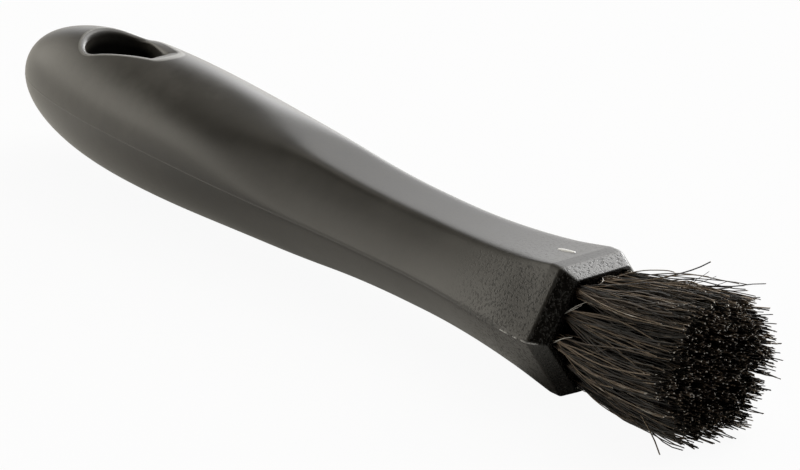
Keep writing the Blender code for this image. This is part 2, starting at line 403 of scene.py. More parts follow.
@dataclass(frozen=True)
class MouldedPlastic:
    """Satin black plastic with the mould's spark grain near the head, and pale scuffed flash."""

    # Base tone, varied at random, and painted paler toward the butt as a sheen
    tone_and_sheen: Stops = (
        (0.3, (0.023, 0.0205, 0.0165)),
        (0.7, (0.034, 0.0305, 0.025)),
        (1.0, (0.056, 0.0515, 0.044)),
    )
    # Near-black colour of painted shade, laid on the grain's pits, the chamfers and the slot's
    # walls
    painted_shade_colour: Colour = (0.004, 0.0035, 0.0028)
    # Pale colour of the scuffed flash, and of the gate mark, where it is partly a painted highlight
    scuff_and_highlight_colour: Colour = (0.72, 0.71, 0.68)
    # Paler colour of the slot's lips: a painted highlight along their rounded edge
    lip_highlight_colour: Colour = (0.22, 0.215, 0.2)
    cloud: Grain = Grain(14 * MM, 3.0)
    blotch: Grain = Grain(3.5 * MM, 3.0, 0.6)
    speck: Grain = Grain(0.42 * MM, 3.0, 0.62)
    skin: Grain = Grain(0.22 * MM, 2.0)
    pit: Grain = Grain(0.7 * MM, 1.5, 0.7)
    pit_range: Pair = (0.36, 0.5)
    scuff_range: Pair = (0.35, 0.6)
    scuff_least: float = 0.45
    blotch_strength: float = 0.3
    # How much paler the grip is painted toward the butt: a painted sheen
    painted_sheen_strength: float = 0.4
    # How strongly the grain's pits are painted darker: painted shade in their hollows
    pits_painted_shade: float = 0.8
    # How strongly the chamfers are painted darker: painted shade
    chamfer_painted_shade: float = 0.85
    # How strongly the slot's walls are painted darker: painted shade inside the slot
    wall_painted_shade: float = 0.95
    satin: float = 0.29
    cloud_rougher: float = 0.1
    blotch_rougher: float = 0.12
    pits_rougher: float = 0.25
    polish: float = 0.12
    skin_relief: Relief = Relief(0.02 * MM, 0.25)
    speck_relief: Relief = Relief(0.1 * MM, 0.6)
    pit_relief: Relief = Relief(0.07 * MM, 0.8)
    refraction: float = 1.52

    def material(self) -> bpy.types.Material:
        """Build the material.

        Returns:
            The material.
        """
        material, nodes, shader = new_material("moulded_black_plastic")
        place = nodes.add("ShaderNodeTexCoord").outputs["Object"]
        grain, chamfer = nodes.share("grain"), nodes.share("chamfer")
        cloud = nodes.noise(place, self.cloud)
        speck = nodes.noise(place, self.speck)
        blotch = nodes.math("SUBTRACT", nodes.noise(place, self.blotch), NOISE_MIDDLE)
        blotch = nodes.scaled(blotch, self.blotch_strength)
        # The grain's pits are sunk and roughened, and also painted darker as shade
        pits = nodes.remap(nodes.noise(place, self.pit), *self.pit_range, 1.0, 0.0)
        pits = nodes.math("MULTIPLY", nodes.scaled(pits, self.pits_painted_shade), grain)

        # Painted sheen: the colour grows paler toward the butt
        tone_and_sheen_level = nodes.math("ADD", cloud, nodes.scaled(nodes.share("painted_sheen"), self.painted_sheen_strength))
        colour = nodes.ramp(nodes.math("ADD", tone_and_sheen_level, blotch, True), self.tone_and_sheen)
        # Painted shade: the pits, the chamfers and then the slot's walls darken the colour
        shaded = nodes.math("MAXIMUM", pits, nodes.scaled(chamfer, self.chamfer_painted_shade))
        wall = nodes.scaled(nodes.share("wall"), self.wall_painted_shade)
        colour = nodes.blend(nodes.math("MAXIMUM", shaded, wall), colour, self.painted_shade_colour)
        # Painted highlight on the slot's lips
        colour = nodes.blend(nodes.share("lip"), colour, self.lip_highlight_colour)
        torn = nodes.remap(speck, *self.scuff_range, self.scuff_least, 1.0)
        torn = nodes.math("MULTIPLY", nodes.share("scuff"), torn, True)
        # The gate mark takes the pale colour whole: partly pale scuffed plastic, partly a painted
        # highlight
        torn = nodes.math("MAXIMUM", torn, nodes.share("gate"))
        nodes.link(nodes.blend(torn, colour, self.scuff_and_highlight_colour), shader.inputs["Base Color"])

        rough = nodes.math("ADD", nodes.scaled(cloud, self.cloud_rougher), self.satin)
        rough = nodes.math("ADD", rough, nodes.scaled(blotch, self.blotch_rougher))
        rough = nodes.math("SUBTRACT", rough, nodes.scaled(chamfer, self.polish))
        rough = nodes.math("ADD", rough, nodes.scaled(pits, self.pits_rougher))
        nodes.link(rough, shader.inputs["Roughness"])
        normal = nodes.bump(nodes.noise(place, self.skin), self.skin_relief)
        normal = nodes.bump(nodes.math("MULTIPLY", speck, grain), self.speck_relief, normal)
        normal = nodes.bump(nodes.math("SUBTRACT", 1.0, pits), self.pit_relief, normal)
        nodes.link(normal, shader.inputs["Normal"])
        shader.inputs["IOR"].default_value = self.refraction
        return material


@dataclass(frozen=True)
class NaturalHair:
    """Dark horse hair: each strand a little lighter or browner than the next, and a few pale."""

    shades: Stops = (
        (0.0, (0.005, 0.0036, 0.0026)),
        (0.3, (0.011, 0.0082, 0.0058)),
        (0.6, (0.068, 0.048, 0.032)),
        (0.88, (0.27, 0.205, 0.145)),
        (0.98, (0.70, 0.67, 0.61)),
    )
    drift: Grain = Grain(5 * MM)
    drift_strength: float = 0.3
    # How much paler the cut ends are painted: partly the hair's lighter core, partly painted glints
    cut_paler_and_glint: float = 0.6
    gloss: float = 0.34
    pale_rougher: float = 0.16
    scale: Grain = Grain(0.25 * MM)
    scale_relief: Relief = Relief(0.01 * MM, 0.35)
    refraction: float = 1.5
    sheen: float = 0.28

    def material(self) -> bpy.types.Material:
        """Build the material.

        Returns:
            The material.
        """
        material, nodes, shader = new_material("natural_dark_hair")
        place = nodes.add("ShaderNodeTexCoord").outputs["Object"]
        strand = nodes.share("strand")
        drift = nodes.math("SUBTRACT", nodes.noise(place, self.drift), NOISE_MIDDLE)
        shade = nodes.math("ADD", strand, nodes.scaled(drift, self.drift_strength), True)
        # Cut ends paler: partly the lighter core, partly painted glints
        shade = nodes.math("ADD", shade, nodes.scaled(nodes.share("cut"), self.cut_paler_and_glint), True)
        nodes.link(nodes.ramp(shade, self.shades), shader.inputs["Base Color"])
        rough = nodes.math("ADD", nodes.scaled(strand, self.pale_rougher), self.gloss)
        nodes.link(rough, shader.inputs["Roughness"])
        scales = nodes.bump(nodes.noise(place, self.scale), self.scale_relief)
        nodes.link(scales, shader.inputs["Normal"])
        shader.inputs["IOR"].default_value = self.refraction
        shader.inputs["Specular IOR Level"].default_value = self.sheen
        return material


@dataclass(frozen=True)
class DrawnSteel:
    """Flat drawn wire with fine lines along it."""

    colour: Colour = (0.55, 0.55, 0.56)
    line: Grain = Grain(0.05 * MM, 3.0)
    line_range: Pair = (0.2, 0.8)
    line_stretch: float = 0.05
    line_shade: float = 0.85
    roughness: Pair = (0.22, 0.4)
    relief: Relief = Relief(0.005 * MM, 0.4)

    def material(self) -> bpy.types.Material:
        """Build the material.

        Returns:
            The material.
        """
        material, nodes, shader = new_material("drawn_flat_steel")
        stretch = nodes.add("ShaderNodeMapping")
        nodes.link(nodes.add("ShaderNodeTexCoord").outputs["Object"], stretch.inputs["Vector"])
        stretch.inputs["Scale"].default_value = (1, 1, self.line_stretch)
        lines = nodes.noise(stretch.outputs["Vector"], self.line)
        low, high = self.line_range
        dark = tuple(self.line_shade * part for part in self.colour)
        tone = nodes.ramp(lines, ((low, dark), (high, self.colour)))
        nodes.link(tone, shader.inputs["Base Color"])
        nodes.link(nodes.remap(lines, low, high, *self.roughness), shader.inputs["Roughness"])
        nodes.link(nodes.bump(lines, self.relief), shader.inputs["Normal"])
        shader.inputs["Metallic"].default_value = 1.0
        return material


@dataclass
class HandleShape:
    """The outline and sections of the handle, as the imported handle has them.

    Places along it are shares of its length from the head's rim to the end of the butt.
    """

    rim_land: float = 3.0 * MM
    chamfer_length: float = 4.3 * MM
    chamfer_inset: float = 2.5 * MM
    neck_width: float = 28.7 * MM
    neck_height: float = 22.8 * MM
    grip_width: float = 33.6 * MM
    grip_height: float = 35.2 * MM
    head_height: float = 30.2 * MM
    neck_share: float = 0.237
    widest_share: float = 0.653
    tallest_share: float = 0.756
    facets_fade_share: float = 0.4
    round_share: float = 0.76
    flat_share: float = 0.473
    rim_rounding: float = 0.03
    ridge_rounding: float = 0.08
    ridge_share: float = 0.06
    crown: float = 0.08
    width_flare_power: float = 0.82
    height_flare_power: float = 0.53
    width_butt_power: float = 2.45
    height_butt_power: float = 2.32
    rise_steps: int = 84
    halvings: int = 44

    def __post_init__(self) -> None:
        """Take the length, the head's width and the rim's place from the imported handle."""
        low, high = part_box("handle")
        self.rim_x = high.x - self.chamfer_length
        self.length = self.rim_x - low.x
        self.head_width = high.y - low.y
        self.axis_z = self.head_height / 2
        self.full_rise = self._find_rise()

    @property
    def face_x(self) -> float:
        """Place of the head's end face."""
        return self.rim_x + self.chamfer_length

    def _half_size(self, share: np.ndarray, rim: float, neck: float, grip: float,
                   grip_share: float, flare_power: float, butt_power: float) -> np.ndarray:
        """Half the width or height along the handle.

        Args:
            share: Shares of the length.
            rim: Half the size at the head's rim.
            neck: Half the size at the neck.
            grip: Half the size where the grip is largest.
            grip_share: Where that is.
            flare_power: How early the head's flare begins.
            butt_power: How blunt the butt is.

        Returns:
            A half size for each share.
        """
        land_share = self.rim_land / self.length
        along = np.clip((share - land_share) / (self.neck_share - land_share), 0, 1)
        flare = neck + (rim - neck) * (1 - smooth(along**flare_power))
        past_neck = (share - self.neck_share) / (grip_share - self.neck_share)
        swell = neck + (grip - neck) * smoother(past_neck)
        along = np.clip((share - grip_share) / (1 - grip_share), 0, 1)
        butt = grip * np.maximum(1 - along**butt_power, 0.0) ** (1 / butt_power)
        return np.where(share <= self.neck_share, flare, np.where(share <= grip_share, swell, butt))

    def half_width(self, share: np.ndarray) -> np.ndarray:
        """Half the width at shares of the length."""
        return self._half_size(share, self.head_width / 2, self.neck_width / 2, self.grip_width / 2,
                               self.widest_share, self.width_flare_power, self.width_butt_power)

    def half_height(self, share: np.ndarray) -> np.ndarray:
        """Half the height at shares of the length."""
        return self._half_size(
            share, self.head_height / 2, self.neck_height / 2, self.grip_height / 2,
            self.tallest_share, self.height_flare_power, self.height_butt_power)

    def _find_rise(self) -> float:
        """Find how far the centre line climbs, to keep the grip's underside level with the rim's.

        Returns:
            The climb from the rim to the butt.
        """
        swell = self.tallest_share - self.neck_share
        shares = self.neck_share + swell * np.arange(1, self.rise_steps + 1) / self.rise_steps
        needed = (self.half_height(shares) - self.head_height / 2) / smooth(shares)
        return max(0.0, float(np.max(needed)))

    def _reach(self, angle: np.ndarray, power: np.ndarray, crown: np.ndarray) -> np.ndarray:
        """Distance from the axis to the unit section, whose corners the power rounds.

        Args:
            angle: Angles round the section.
            power: How sharp its corners are, 2 for a round section.
            crown: How far its four side facets swell between their corners.

        Returns:
            A distance for each angle.
        """
        side = 1 - self.flat_share
        cosine, sine = np.cos(angle), np.sin(angle)
        *norms, _ = np.broadcast_arrays(
            np.abs(sine), np.abs(cosine + side * sine), np.abs(cosine - side * sine), power)
        norms = np.stack(norms)
        largest = norms.max(axis=0)
        near = norms / largest
        total = (near**power).sum(axis=0) ** (1 / power)
        on_side = 1 - (near[0] / total) ** 4
        return (1 + crown * on_side * (2 - (near**2).sum(axis=0) / total**2)) / (largest * total)

    def section(self, share: np.ndarray, angle: np.ndarray,
                scale: np.ndarray | float = 1.0) -> np.ndarray:
        """Points on the skin.

        Args:
            share: Shares of the length, in any shape that goes with angle.
            angle: Angles round the unit section, 0 at +Y and a quarter turn at +Z.
            scale: How far out from the axis, 1 on the skin.

        Returns:
            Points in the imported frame, with X, Y and Z last.
        """
        fade_span = self.round_share - self.facets_fade_share
        fade = smooth((share - self.facets_fade_share) / fade_span)
        past_rim = smooth((share - self.rim_land / self.length) / self.ridge_share)
        rounding = self.rim_rounding + (self.ridge_rounding - self.rim_rounding) * past_rim
        power = 2 / (rounding + (1 - rounding) * fade)
        crown = self.crown * past_rim * (1 - fade)
        zero = np.zeros_like(power)
        width = self.half_width(share) * scale / self._reach(zero, power, crown)
        height = self.half_height(share) * scale / self._reach(zero + math.pi / 2, power, crown)
        reach = self._reach(angle, power, crown)
        y = width * reach * np.cos(angle)
        z = height * reach * np.sin(angle) + self.full_rise * smooth(share) + self.axis_z
        x = self.rim_x - share * self.length
        return np.stack(np.broadcast_arrays(x, y, z), axis=-1)

    def on_skin(self, x: np.ndarray, y: np.ndarray, side: Side) -> np.ndarray:
        """Points on the skin above or below places in plan, by halving the angle's range.

        Args:
            x: The places' X.
            y: The places' Y.
            side: Above or below.

        Returns:
            One row of X, Y and Z for each place.
        """
        share = (self.rim_x - x) / self.length
        low, high = np.zeros_like(x), np.full_like(x, math.pi)
        for _ in range(self.halvings):
            middle = (low + high) / 2
            wide = self.section(share, side.value * middle)[..., 1] > y
            low, high = np.where(wide, middle, low), np.where(wide, high, middle)
        return self.section(share, side.value * (low + high) / 2)


@dataclass
class HangingSlot:
    """The slot through the butt: a large and a small circle joined by tangents, with lips."""

    shape: HandleShape
    large_radius: float = 7.8 * MM
    small_radius: float = 3.0 * MM
    span: float = 14.0 * MM
    setback: float = 34.9 * MM
    lip: float = 1.4 * MM
    lip_depth: float = 1.2 * MM
    lip_blend: float = 2.2
    scoop: float = 5.3 * MM
    scoop_depth: float = 1.7 * MM
    edge_round: float = 0.45 * MM
    wall_round: float = 0.85 * MM
    wall_run: float = 1.6 * MM
    middle_share: float = 0.25
    outline_steps: int = 720
    dense_steps: int = 12
    wall_rings: int = 16
    edge_steps: int = 5
    inner_steps: int = 7

    @property
    def large_x(self) -> float:
        """Place of the large circle's centre."""
        return self.shape.rim_x - self.shape.length + self.setback

    @property
    def middle_x(self) -> float:
        """Place of the point that the outline is seen from, between the two circles."""
        return self.large_x + self.span * self.middle_share

    def outline(self, widening: float) -> np.ndarray:
        """Points round the slot in plan.

        Args:
            widening: How many lips wider than the through slot.

        Returns:
            Rows of X and Y, the whole way round.
        """
        grow = self.lip * widening
        span = self.span + self.scoop * max(widening, 0.0)
        lean = math.acos((self.large_radius - self.small_radius) / span)
        half = self.outline_steps // 2
        back = np.linspace(lean, math.tau - lean, half)
        front = np.linspace(-lean, lean, half)
        reach = self.large_radius + grow
        large = np.stack([self.large_x + reach * np.cos(back), reach * np.sin(back)], -1)
        power = 2 + 2 * max(0.0, 1 - widening)
        square = (np.abs(np.cos(front)) ** power + np.abs(np.sin(front)) ** power) ** (-1 / power)
        reach = (self.small_radius + grow) * square
        small = np.stack([self.large_x + span + reach * np.cos(front), reach * np.sin(front)], -1)
        return np.concatenate([large, small])

    def turn_of(self, points: np.ndarray) -> np.ndarray:
        """Angles round the slot's middle at which points lie."""
        return np.arctan2(points[:, 1], points[:, 0] - self.middle_x)

    def along_rays(self, angles: np.ndarray, widening: float) -> np.ndarray:
        """Where rays from the slot's middle meet its outline.

        Args:
            angles: The rays' angles.
            widening: How many lips wider than the through slot.

        Returns:
            Rows of X and Y, one for each ray.
        """
        points = self.outline(widening)
        closed = np.concatenate([points, points[:1]])
        ahead = closed[1:] - closed[:-1]
        steps = np.linspace(0, 1, self.dense_steps, endpoint=False)
        dense = (closed[:-1, None] + ahead[:, None] * steps[None, :, None]).reshape(-1, 2)
        turn = self.turn_of(dense)
        far = np.hypot(dense[:, 0] - self.middle_x, dense[:, 1])
        order = np.argsort(turn)
        reach = np.interp(angles, turn[order], far[order], period=math.tau)
        return np.stack([self.middle_x + reach * np.cos(angles), reach * np.sin(angles)], -1)

    def deepening(self, x: np.ndarray) -> np.ndarray:
        """How many times deeper than at the large end the lip is, at places along the slot."""
        along = (x - self.large_x) / self.span
        return 1 + (self.scoop_depth / self.lip_depth - 1) * smooth(along)

    def lip_profile(self) -> list[Pair]:
        """The lip from the skin down to the wall.

        Returns:
            Pairs of widening and depth.
        """
        skin, mouth = (self.lip_blend * self.lip, 0.0), (self.lip, 0.0)
        inner, wall = (0.0, self.lip_depth), (0.0, self.lip_depth + self.wall_run)
        points = fillet(skin, mouth, inner, self.edge_round, self.edge_steps)
        points += fillet(mouth, inner, wall, self.wall_round, self.inner_steps)
        points.append(wall)
        return [(offset / self.lip, depth) for offset, depth in points]


@dataclass(frozen=True)
class PartingFlash:
    """The raised parting line round the moulding, torn near the head."""

    height: float = 0.06 * MM
    torn_height: float = 0.14 * MM
    width: float = 0.11 * MM
    torn_length: float = 11.0 * MM
    torn_fade: float = 2 * MM
    torn_grain: float = 0.7 * MM
    seed: int = 7

    def torn(self, x: np.ndarray) -> np.ndarray:
        """How torn the flash is, 0 to 1, at places measured from the rim."""
        return smooth((x + self.torn_length) / self.torn_fade)

    def rise(self, x: np.ndarray, away: np.ndarray) -> np.ndarray:
        """How far the flash raises the skin.

        Args:
            x: Places of the rings, measured from the rim.
            away: Distances from the parting line, ring by ring.

        Returns:
            A height for each distance.
        """
        ragged = 0.5 + 0.5 * value_noise(x / self.torn_grain, self.seed)
        crest = self.height + self.torn_height * (self.torn(x) * ragged)
        return crest[:, None] * np.exp(-((away / self.width) ** 2))


@dataclass(frozen=True)
class GateMark:
    """The small raised dash where the plastic was let into the mould."""

    start: float = 5.9 * MM
    length: float = 5.9 * MM
    width: float = 1.35 * MM
    height: float = 0.28 * MM
    offset: float = 0.5 * MM
    sink: float = 0.02 * MM
    root: float = 0.1 * MM
    along: int = 26
    across: int = 10

    def mesh(self, shape: HandleShape) -> tuple[np.ndarray, list[Face]]:
        """The dash as a closed lens on the skin.

        Args:
            shape: The handle that it lies on.

        Returns:
            Its points and its faces.
        """
        return np.array(self._points(shape)), self._faces()

    def _points(self, shape: HandleShape) -> list[Point]:
        """The dome's points, row by row, and then those of its hidden root.

        Args:
            shape: The handle that it lies on.

        Returns:
            X, Y and Z of each point.
        """
        u = np.linspace(-1, 1, self.along + 1)
        widths = self.width / 2 * np.sqrt(np.maximum(1 - np.abs(u) ** 3, 0.0))
        places = shape.rim_x - self.start - self.length * (1 - u) / 2
        points = []
        for place, half in zip(places, widths):
            for v in np.linspace(-1, 1, self.across + 1):
                y = self.offset + half * v
                x, y, z = shape.on_skin(np.array([place]), np.array([y]), Side.TOP)[0]
                dome = self.height * (1 - v * v) * (half / (self.width / 2))
                points.append((x, y, z + dome - self.sink))
        return points + [(x, y, z - self.height - self.root) for x, y, z in points]

    def _faces(self) -> list[Face]:
        """The faces of the dome, its root and the wall between them.

        Returns:
            Vertex numbers of each face.
        """
        along, across, row = self.along, self.across, self.across + 1
        top = (along + 1) * row
        faces = []
        for i in range(along):
            for j in range(across):
                a = i * row + j
                faces.append((a, a + row, a + row + 1, a + 1))
                faces.append((top + a, top + a + 1, top + a + row + 1, top + a + row))
        edge = list(range(row)) + [i * row + across for i in range(1, along + 1)]
        edge += [along * row + j for j in range(across - 1, -1, -1)]
        edge += [i * row for i in range(along - 1, 0, -1)]
        for a, b in zip(edge, edge[1:] + edge[:1]):
            faces.append((a, b, top + b, top + a))
        return faces


@dataclass(frozen=True)
class SurfaceMarks:
    """Where the mould's grain, the painted sheen on the grip, the chamfers' painted shade and the
    pale scuffs lie on the handle.
    """

    chamfer_begins: float = 0.2 * MM
    chamfer_fade: float = 0.6 * MM
    top_fade: float = 9 * MM
    top_half_share: float = 0.52
    top_smoother: float = 0.75
    least_grain: float = 0.05
    added_grain: float = 0.85
    grain_length: float = 36 * MM
    grain_fade: float = 26 * MM
    painted_sheen_begins: float = 118 * MM
    painted_sheen_fade: float = 50 * MM
    scuff_width: float = 0.15 * MM
    scuff_end_share: float = 0.8
    patch_size: float = 1.3 * MM
    patch_swing: float = 1.5
    patch_middle: float = 0.75
    seed: int = 19

    def keep(self, piece: bpy.types.Object, shape: HandleShape, flash: PartingFlash) -> None:
        """Keep a number of each kind at each vertex, for the finish to read.

        Args:
            piece: The handle, with its gate mark kept already.
            shape: Its outline and sections.
            flash: Its parting line.
        """
        mesh = piece.data
        places = np.zeros(len(mesh.vertices) * 3)
        mesh.vertices.foreach_get("co", places)
        x, y, z = places.reshape(-1, 3).T
        gate = np.zeros(len(mesh.vertices))
        mesh.attributes["gate"].data.foreach_get("value", gate)
        along = x - shape.rim_x
        share = np.clip(-along / shape.length, 0, 1)
        chamfered = smooth((along - self.chamfer_begins) / self.chamfer_fade)
        facing_up = smooth((z - shape.axis_z) / self.top_fade) * (1 - chamfered)
        facing_up *= np.abs(y) < self.top_half_share * shape.half_width(share)
        near_head = smooth((along + self.grain_length) / self.grain_fade)
        coarse = self.added_grain * near_head * (1 - self.top_smoother * facing_up)
        height = z - shape.axis_z - shape.full_rise * smooth(share)
        near_line = np.exp(-((height / self.scuff_width) ** 2)) * (gate == 0)
        torn = flash.torn(along) * (along < self.scuff_end_share * shape.chamfer_length)
        patchy = value_noise(along / self.patch_size, self.seed)
        patchy = smooth(patchy * self.patch_swing + self.patch_middle)
        # Painted sheen: paler toward the butt
        set_share(piece, "painted_sheen", smooth((-along - self.painted_sheen_begins) / self.painted_sheen_fade))
        # The chamfers are polished, and also painted darker as shade
        set_share(piece, "chamfer", chamfered * (1 - gate))
        # Grain: bumps, and pits that are painted darker as shade; less of it on the top facets
        set_share(piece, "grain", (self.least_grain + coarse) * (1 - gate))
        set_share(piece, "scuff", np.clip(near_line * torn * patchy, 0, 1))


@dataclass
class Handle:
    """The one-piece moulding: skin, rim, end face with its holes, slot, flash and gate mark."""

    shape: HandleShape
    slot: HangingSlot
    holes: list[Pair]
    flash: PartingFlash = PartingFlash()
    gate: GateMark = GateMark()
    marks: SurfaceMarks = SurfaceMarks()
    hole_diameter: float = 4.4 * MM
    hole_depth: float = 12.0 * MM
    hole_sides: int = 32
    hole_break: float = 0.15 * MM
    side_steps: int = 28
    crowding: float = 0.88
    edge_round: float = 0.32 * MM
    face_reach: float = 5.0
    face_edge_steps: int = 4
    rim_edge_steps: int = 5
    chamfer_rings: int = 12
    ring_gap: float = 0.9 * MM
    fine_ring_gap: float = 0.3 * MM
    butt_rings: int = 64
    block_front: float = 72.0 * MM
    block_back: float = 17.0 * MM
    block_angle: float = math.radians(34)
    patch_rings: int = 9
    patch_crowding: float = 1.3
    smooth_angle: float = math.radians(32)

    def angles(self) -> np.ndarray:
        """Angles of the columns, crowded toward the six ridges.

        Returns:
            One angle for each column, from +Y the whole way round.
        """
        lean = math.atan2(1, self.shape.flat_share)
        corners = (0, lean, math.pi - lean, math.pi, math.pi + lean, math.tau - lean, math.tau)
        t = np.arange(self.side_steps) / self.side_steps
        t = t - self.crowding * np.sin(math.tau * t) / math.tau
        facets = zip(corners, corners[1:])
        return np.concatenate([start + (end - start) * t for start, end in facets])

    def rings(self) -> tuple[np.ndarray, np.ndarray, np.ndarray]:
        """Places of the rings from the end face to the butt.

        Returns:
            X measured from the rim, share of the length, and scale, one of each for a ring.
        """
        shape, flash = self.shape, self.flash
        face = (shape.chamfer_length, shape.chamfer_inset + self.face_reach * self.edge_round)
        edge = (shape.chamfer_length, shape.chamfer_inset)
        rim, land = (0.0, 0.0), (-shape.rim_land, 0.0)
        profile = fillet(face, edge, rim, self.edge_round, self.face_edge_steps)
        between = np.linspace(profile[-1], rim, self.chamfer_rings)[1:-1]
        profile += [tuple(p) for p in between if p[0] > self.edge_round]
        profile += fillet(edge, rim, land, self.edge_round, self.rim_edge_steps)
        start, end = profile[-1][0], -shape.tallest_share * shape.length
        fine_end = start - flash.torn_length
        fine = np.linspace(start, fine_end, round(flash.torn_length / self.fine_ring_gap))[1:]
        body = np.linspace(fine_end, end, round((fine_end - end) / self.ring_gap))[1:-1]
        turn = np.linspace(0, math.pi / 2, self.butt_rings + 1)[:-1]
        butt = end - (1 - shape.tallest_share) * shape.length * np.sin(turn)
        x = np.concatenate([[p[0] for p in profile], fine, body, butt])
        scale = np.ones(len(x))
        scale[:len(profile)] = [1 - p[1] / (shape.head_width / 2) for p in profile]
        return x, np.clip(-x / shape.length, 0, 1), scale

    def skin(self) -> np.ndarray:
        """The skin with the parting line raised on it.

        Returns:
            Its grid of points, ring by ring.
        """
        x, share, scale = self.rings()
        grid = self.shape.section(share[:, None], self.angles()[None, :], scale[:, None])
        grid[..., 0] = self.shape.rim_x + x[:, None]
        for column, outward in ((0, 1.0), (3 * self.side_steps, -1.0)):
            away = np.linalg.norm(grid - grid[:, column:column + 1], axis=-1)
            grid[..., 1] += outward * self.flash.rise(x, away)
        return grid

    def block(self, side: Side) -> tuple[int, int, int, int]:
        """The stretch of skin that a mouth of the slot replaces.

        Args:
            side: Which mouth.

        Returns:
            Its first and last ring, and its first and last column.
        """
        from_butt = self.rings()[0] + self.shape.length
        angles = self.angles()
        turned = math.pi if side is Side.BOTTOM else 0.0
        low, high = self.block_angle + turned, math.pi - self.block_angle + turned
        wanted = ((from_butt, self.block_front), (from_butt, self.block_back),
                  (angles, low), (angles, high))
        return tuple(int(np.argmin(np.abs(values - value))) for values, value in wanted)

    def mouth(self, side: Side, grid: np.ndarray,
              index: np.ndarray) -> tuple[list[np.ndarray], np.ndarray]:
        """Rings of points from the skin round a mouth down to the slot's wall.

        Args:
            side: Which mouth.
            grid: The skin's points.
            index: The skin's vertex numbers.

        Returns:
            The rings, outermost first, and the vertex numbers of the skin's loop round them.
        """
        first, last, low, high = self.block(side)
        loop = [(first, c) for c in range(low, high)]
        loop += [(r, high) for r in range(first, last)]
        loop += [(last, c) for c in range(high, low, -1)]
        loop += [(r, low) for r in range(last, first, -1)]
        rows, columns = np.array(loop).T
        border = grid[rows, columns]
        shape, slot = self.shape, self.slot
        turn = slot.turn_of(border)
        rings = []
        profile = slot.lip_profile()
        outer = slot.along_rays(turn, profile[0][0])
        for step in range(1, self.patch_rings):
            near = (1 - step / self.patch_rings) ** self.patch_crowding
            plan = outer + (border[:, :2] - outer) * near
            rings.append(shape.on_skin(plan[:, 0], plan[:, 1], side))
        for widening, depth in profile:
            plan = slot.along_rays(turn, widening)
            ring = shape.on_skin(plan[:, 0], plan[:, 1], side)
            ring[:, 2] -= side.value * depth * slot.deepening(plan[:, 0])
            rings.append(ring)
        return rings, index[rows, columns]

    def build(self, plastic: bpy.types.Material) -> bpy.types.Object:
        """Make the handle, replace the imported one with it, and finish it in plastic.

        Args:
            plastic: Its material.

        Returns:
            The handle.
        """
        draft = MeshDraft()
        grid = self.skin()
        index = draft.add(grid.reshape(-1, 3)).reshape(grid.shape[:2])
        lip, mouths = self._sink_mouths(draft, grid, index)
        wall_first = draft.count
        self._join_mouths(draft, *mouths)
        wall_last = draft.count
        self._cover(draft, index)
        gate_points, gate_faces = self.gate.mesh(self.shape)
        gate_first = draft.count
        draft.add(gate_points)
        draft.faces.extend(tuple(gate_first + n for n in face) for face in gate_faces)

        piece = draft.piece("moulded_handle")
        # The gate mark, painted pale: partly a painted highlight
        mark_vertices(piece, "gate", slice(gate_first, None))
        # The slot's lips, painted paler as a highlight
        mark_vertices(piece, "lip", lip)
        # The slot's walls, painted darker as shade inside the slot
        mark_vertices(piece, "wall", slice(wall_first, wall_last))
        self._open_end_face(piece, index[0])
        self.marks.keep(piece, self.shape, self.flash)
        piece.data.materials.append(plastic)
        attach(piece, "root")
        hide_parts("handle")
        return piece

    def _sink_mouths(self, draft: MeshDraft, grid: np.ndarray,
                     index: np.ndarray) -> tuple[list[int], list[Loop]]:
        """Skin both mouths of the slot, from the handle's skin down to its wall.

        Args:
            draft: The handle's mesh.
            grid: The skin's points.
            index: The skin's vertex numbers.

        Returns:
            The lips' vertex numbers, painted paler as a highlight, and each mouth's last ring as
            numbers and points.
        """
        lip: list[int] = []
        mouths = []
        lip_last = self.patch_rings + self.slot.edge_steps - 2
        for side in Side:
            rings, outer = self.mouth(side, grid, index)
            for place, ring in enumerate(rings):
                inner = draft.add(ring)
                if self.patch_rings <= place <= lip_last:
                    lip.extend(inner)
                draft.join(outer, inner)
                outer = inner
            mouths.append((outer, rings[-1]))
        return lip, mouths

    def _cover(self, draft: MeshDraft, index: np.ndarray) -> None:
        """Skin the handle but for the slot's mouths, and close its butt.

        Args:
            draft: The handle's mesh.
            index: The skin's vertex numbers.
        """
        rings, columns = index.shape
        keep = np.ones((rings - 1, columns), bool)
        for side in Side:
            first, last, low, high = self.block(side)
            keep[first:last, low:high] = False
        onward = np.roll(index, -1, axis=1)
        for r, c in np.argwhere(keep):
            draft.faces.append((index[r, c], onward[r, c], onward[r + 1, c], index[r + 1, c]))
        shape = self.shape
        butt = (shape.rim_x - shape.length, 0, shape.axis_z + shape.full_rise)
        tip = draft.add(np.array([butt]))[0]
        draft.faces.extend((here, after, tip) for here, after in zip(index[-1], onward[-1]))

    def _join_mouths(self, draft: MeshDraft, top: Loop, bottom: Loop) -> None:
        """Skin the slot's wall.

        Args:
            draft: The handle's mesh.
            top: The top mouth's last ring, as vertex numbers and points.
            bottom: The bottom mouth's last ring.
        """
        (upper, upper_ring), (lower, lower_ring) = top, bottom
        turn, other = self.slot.turn_of(upper_ring), self.slot.turn_of(lower_ring)
        order = np.argsort(other)
        height = np.interp(turn, other[order], lower_ring[order, 2], period=math.tau)
        for step in range(1, self.slot.wall_rings):
            ring = upper_ring.copy()
            ring[:, 2] += (height - upper_ring[:, 2]) * step / self.slot.wall_rings
            inner = draft.add(ring)
            draft.join(upper, inner)
            upper = inner
        self._zip_loops(draft, upper, turn, lower, other)

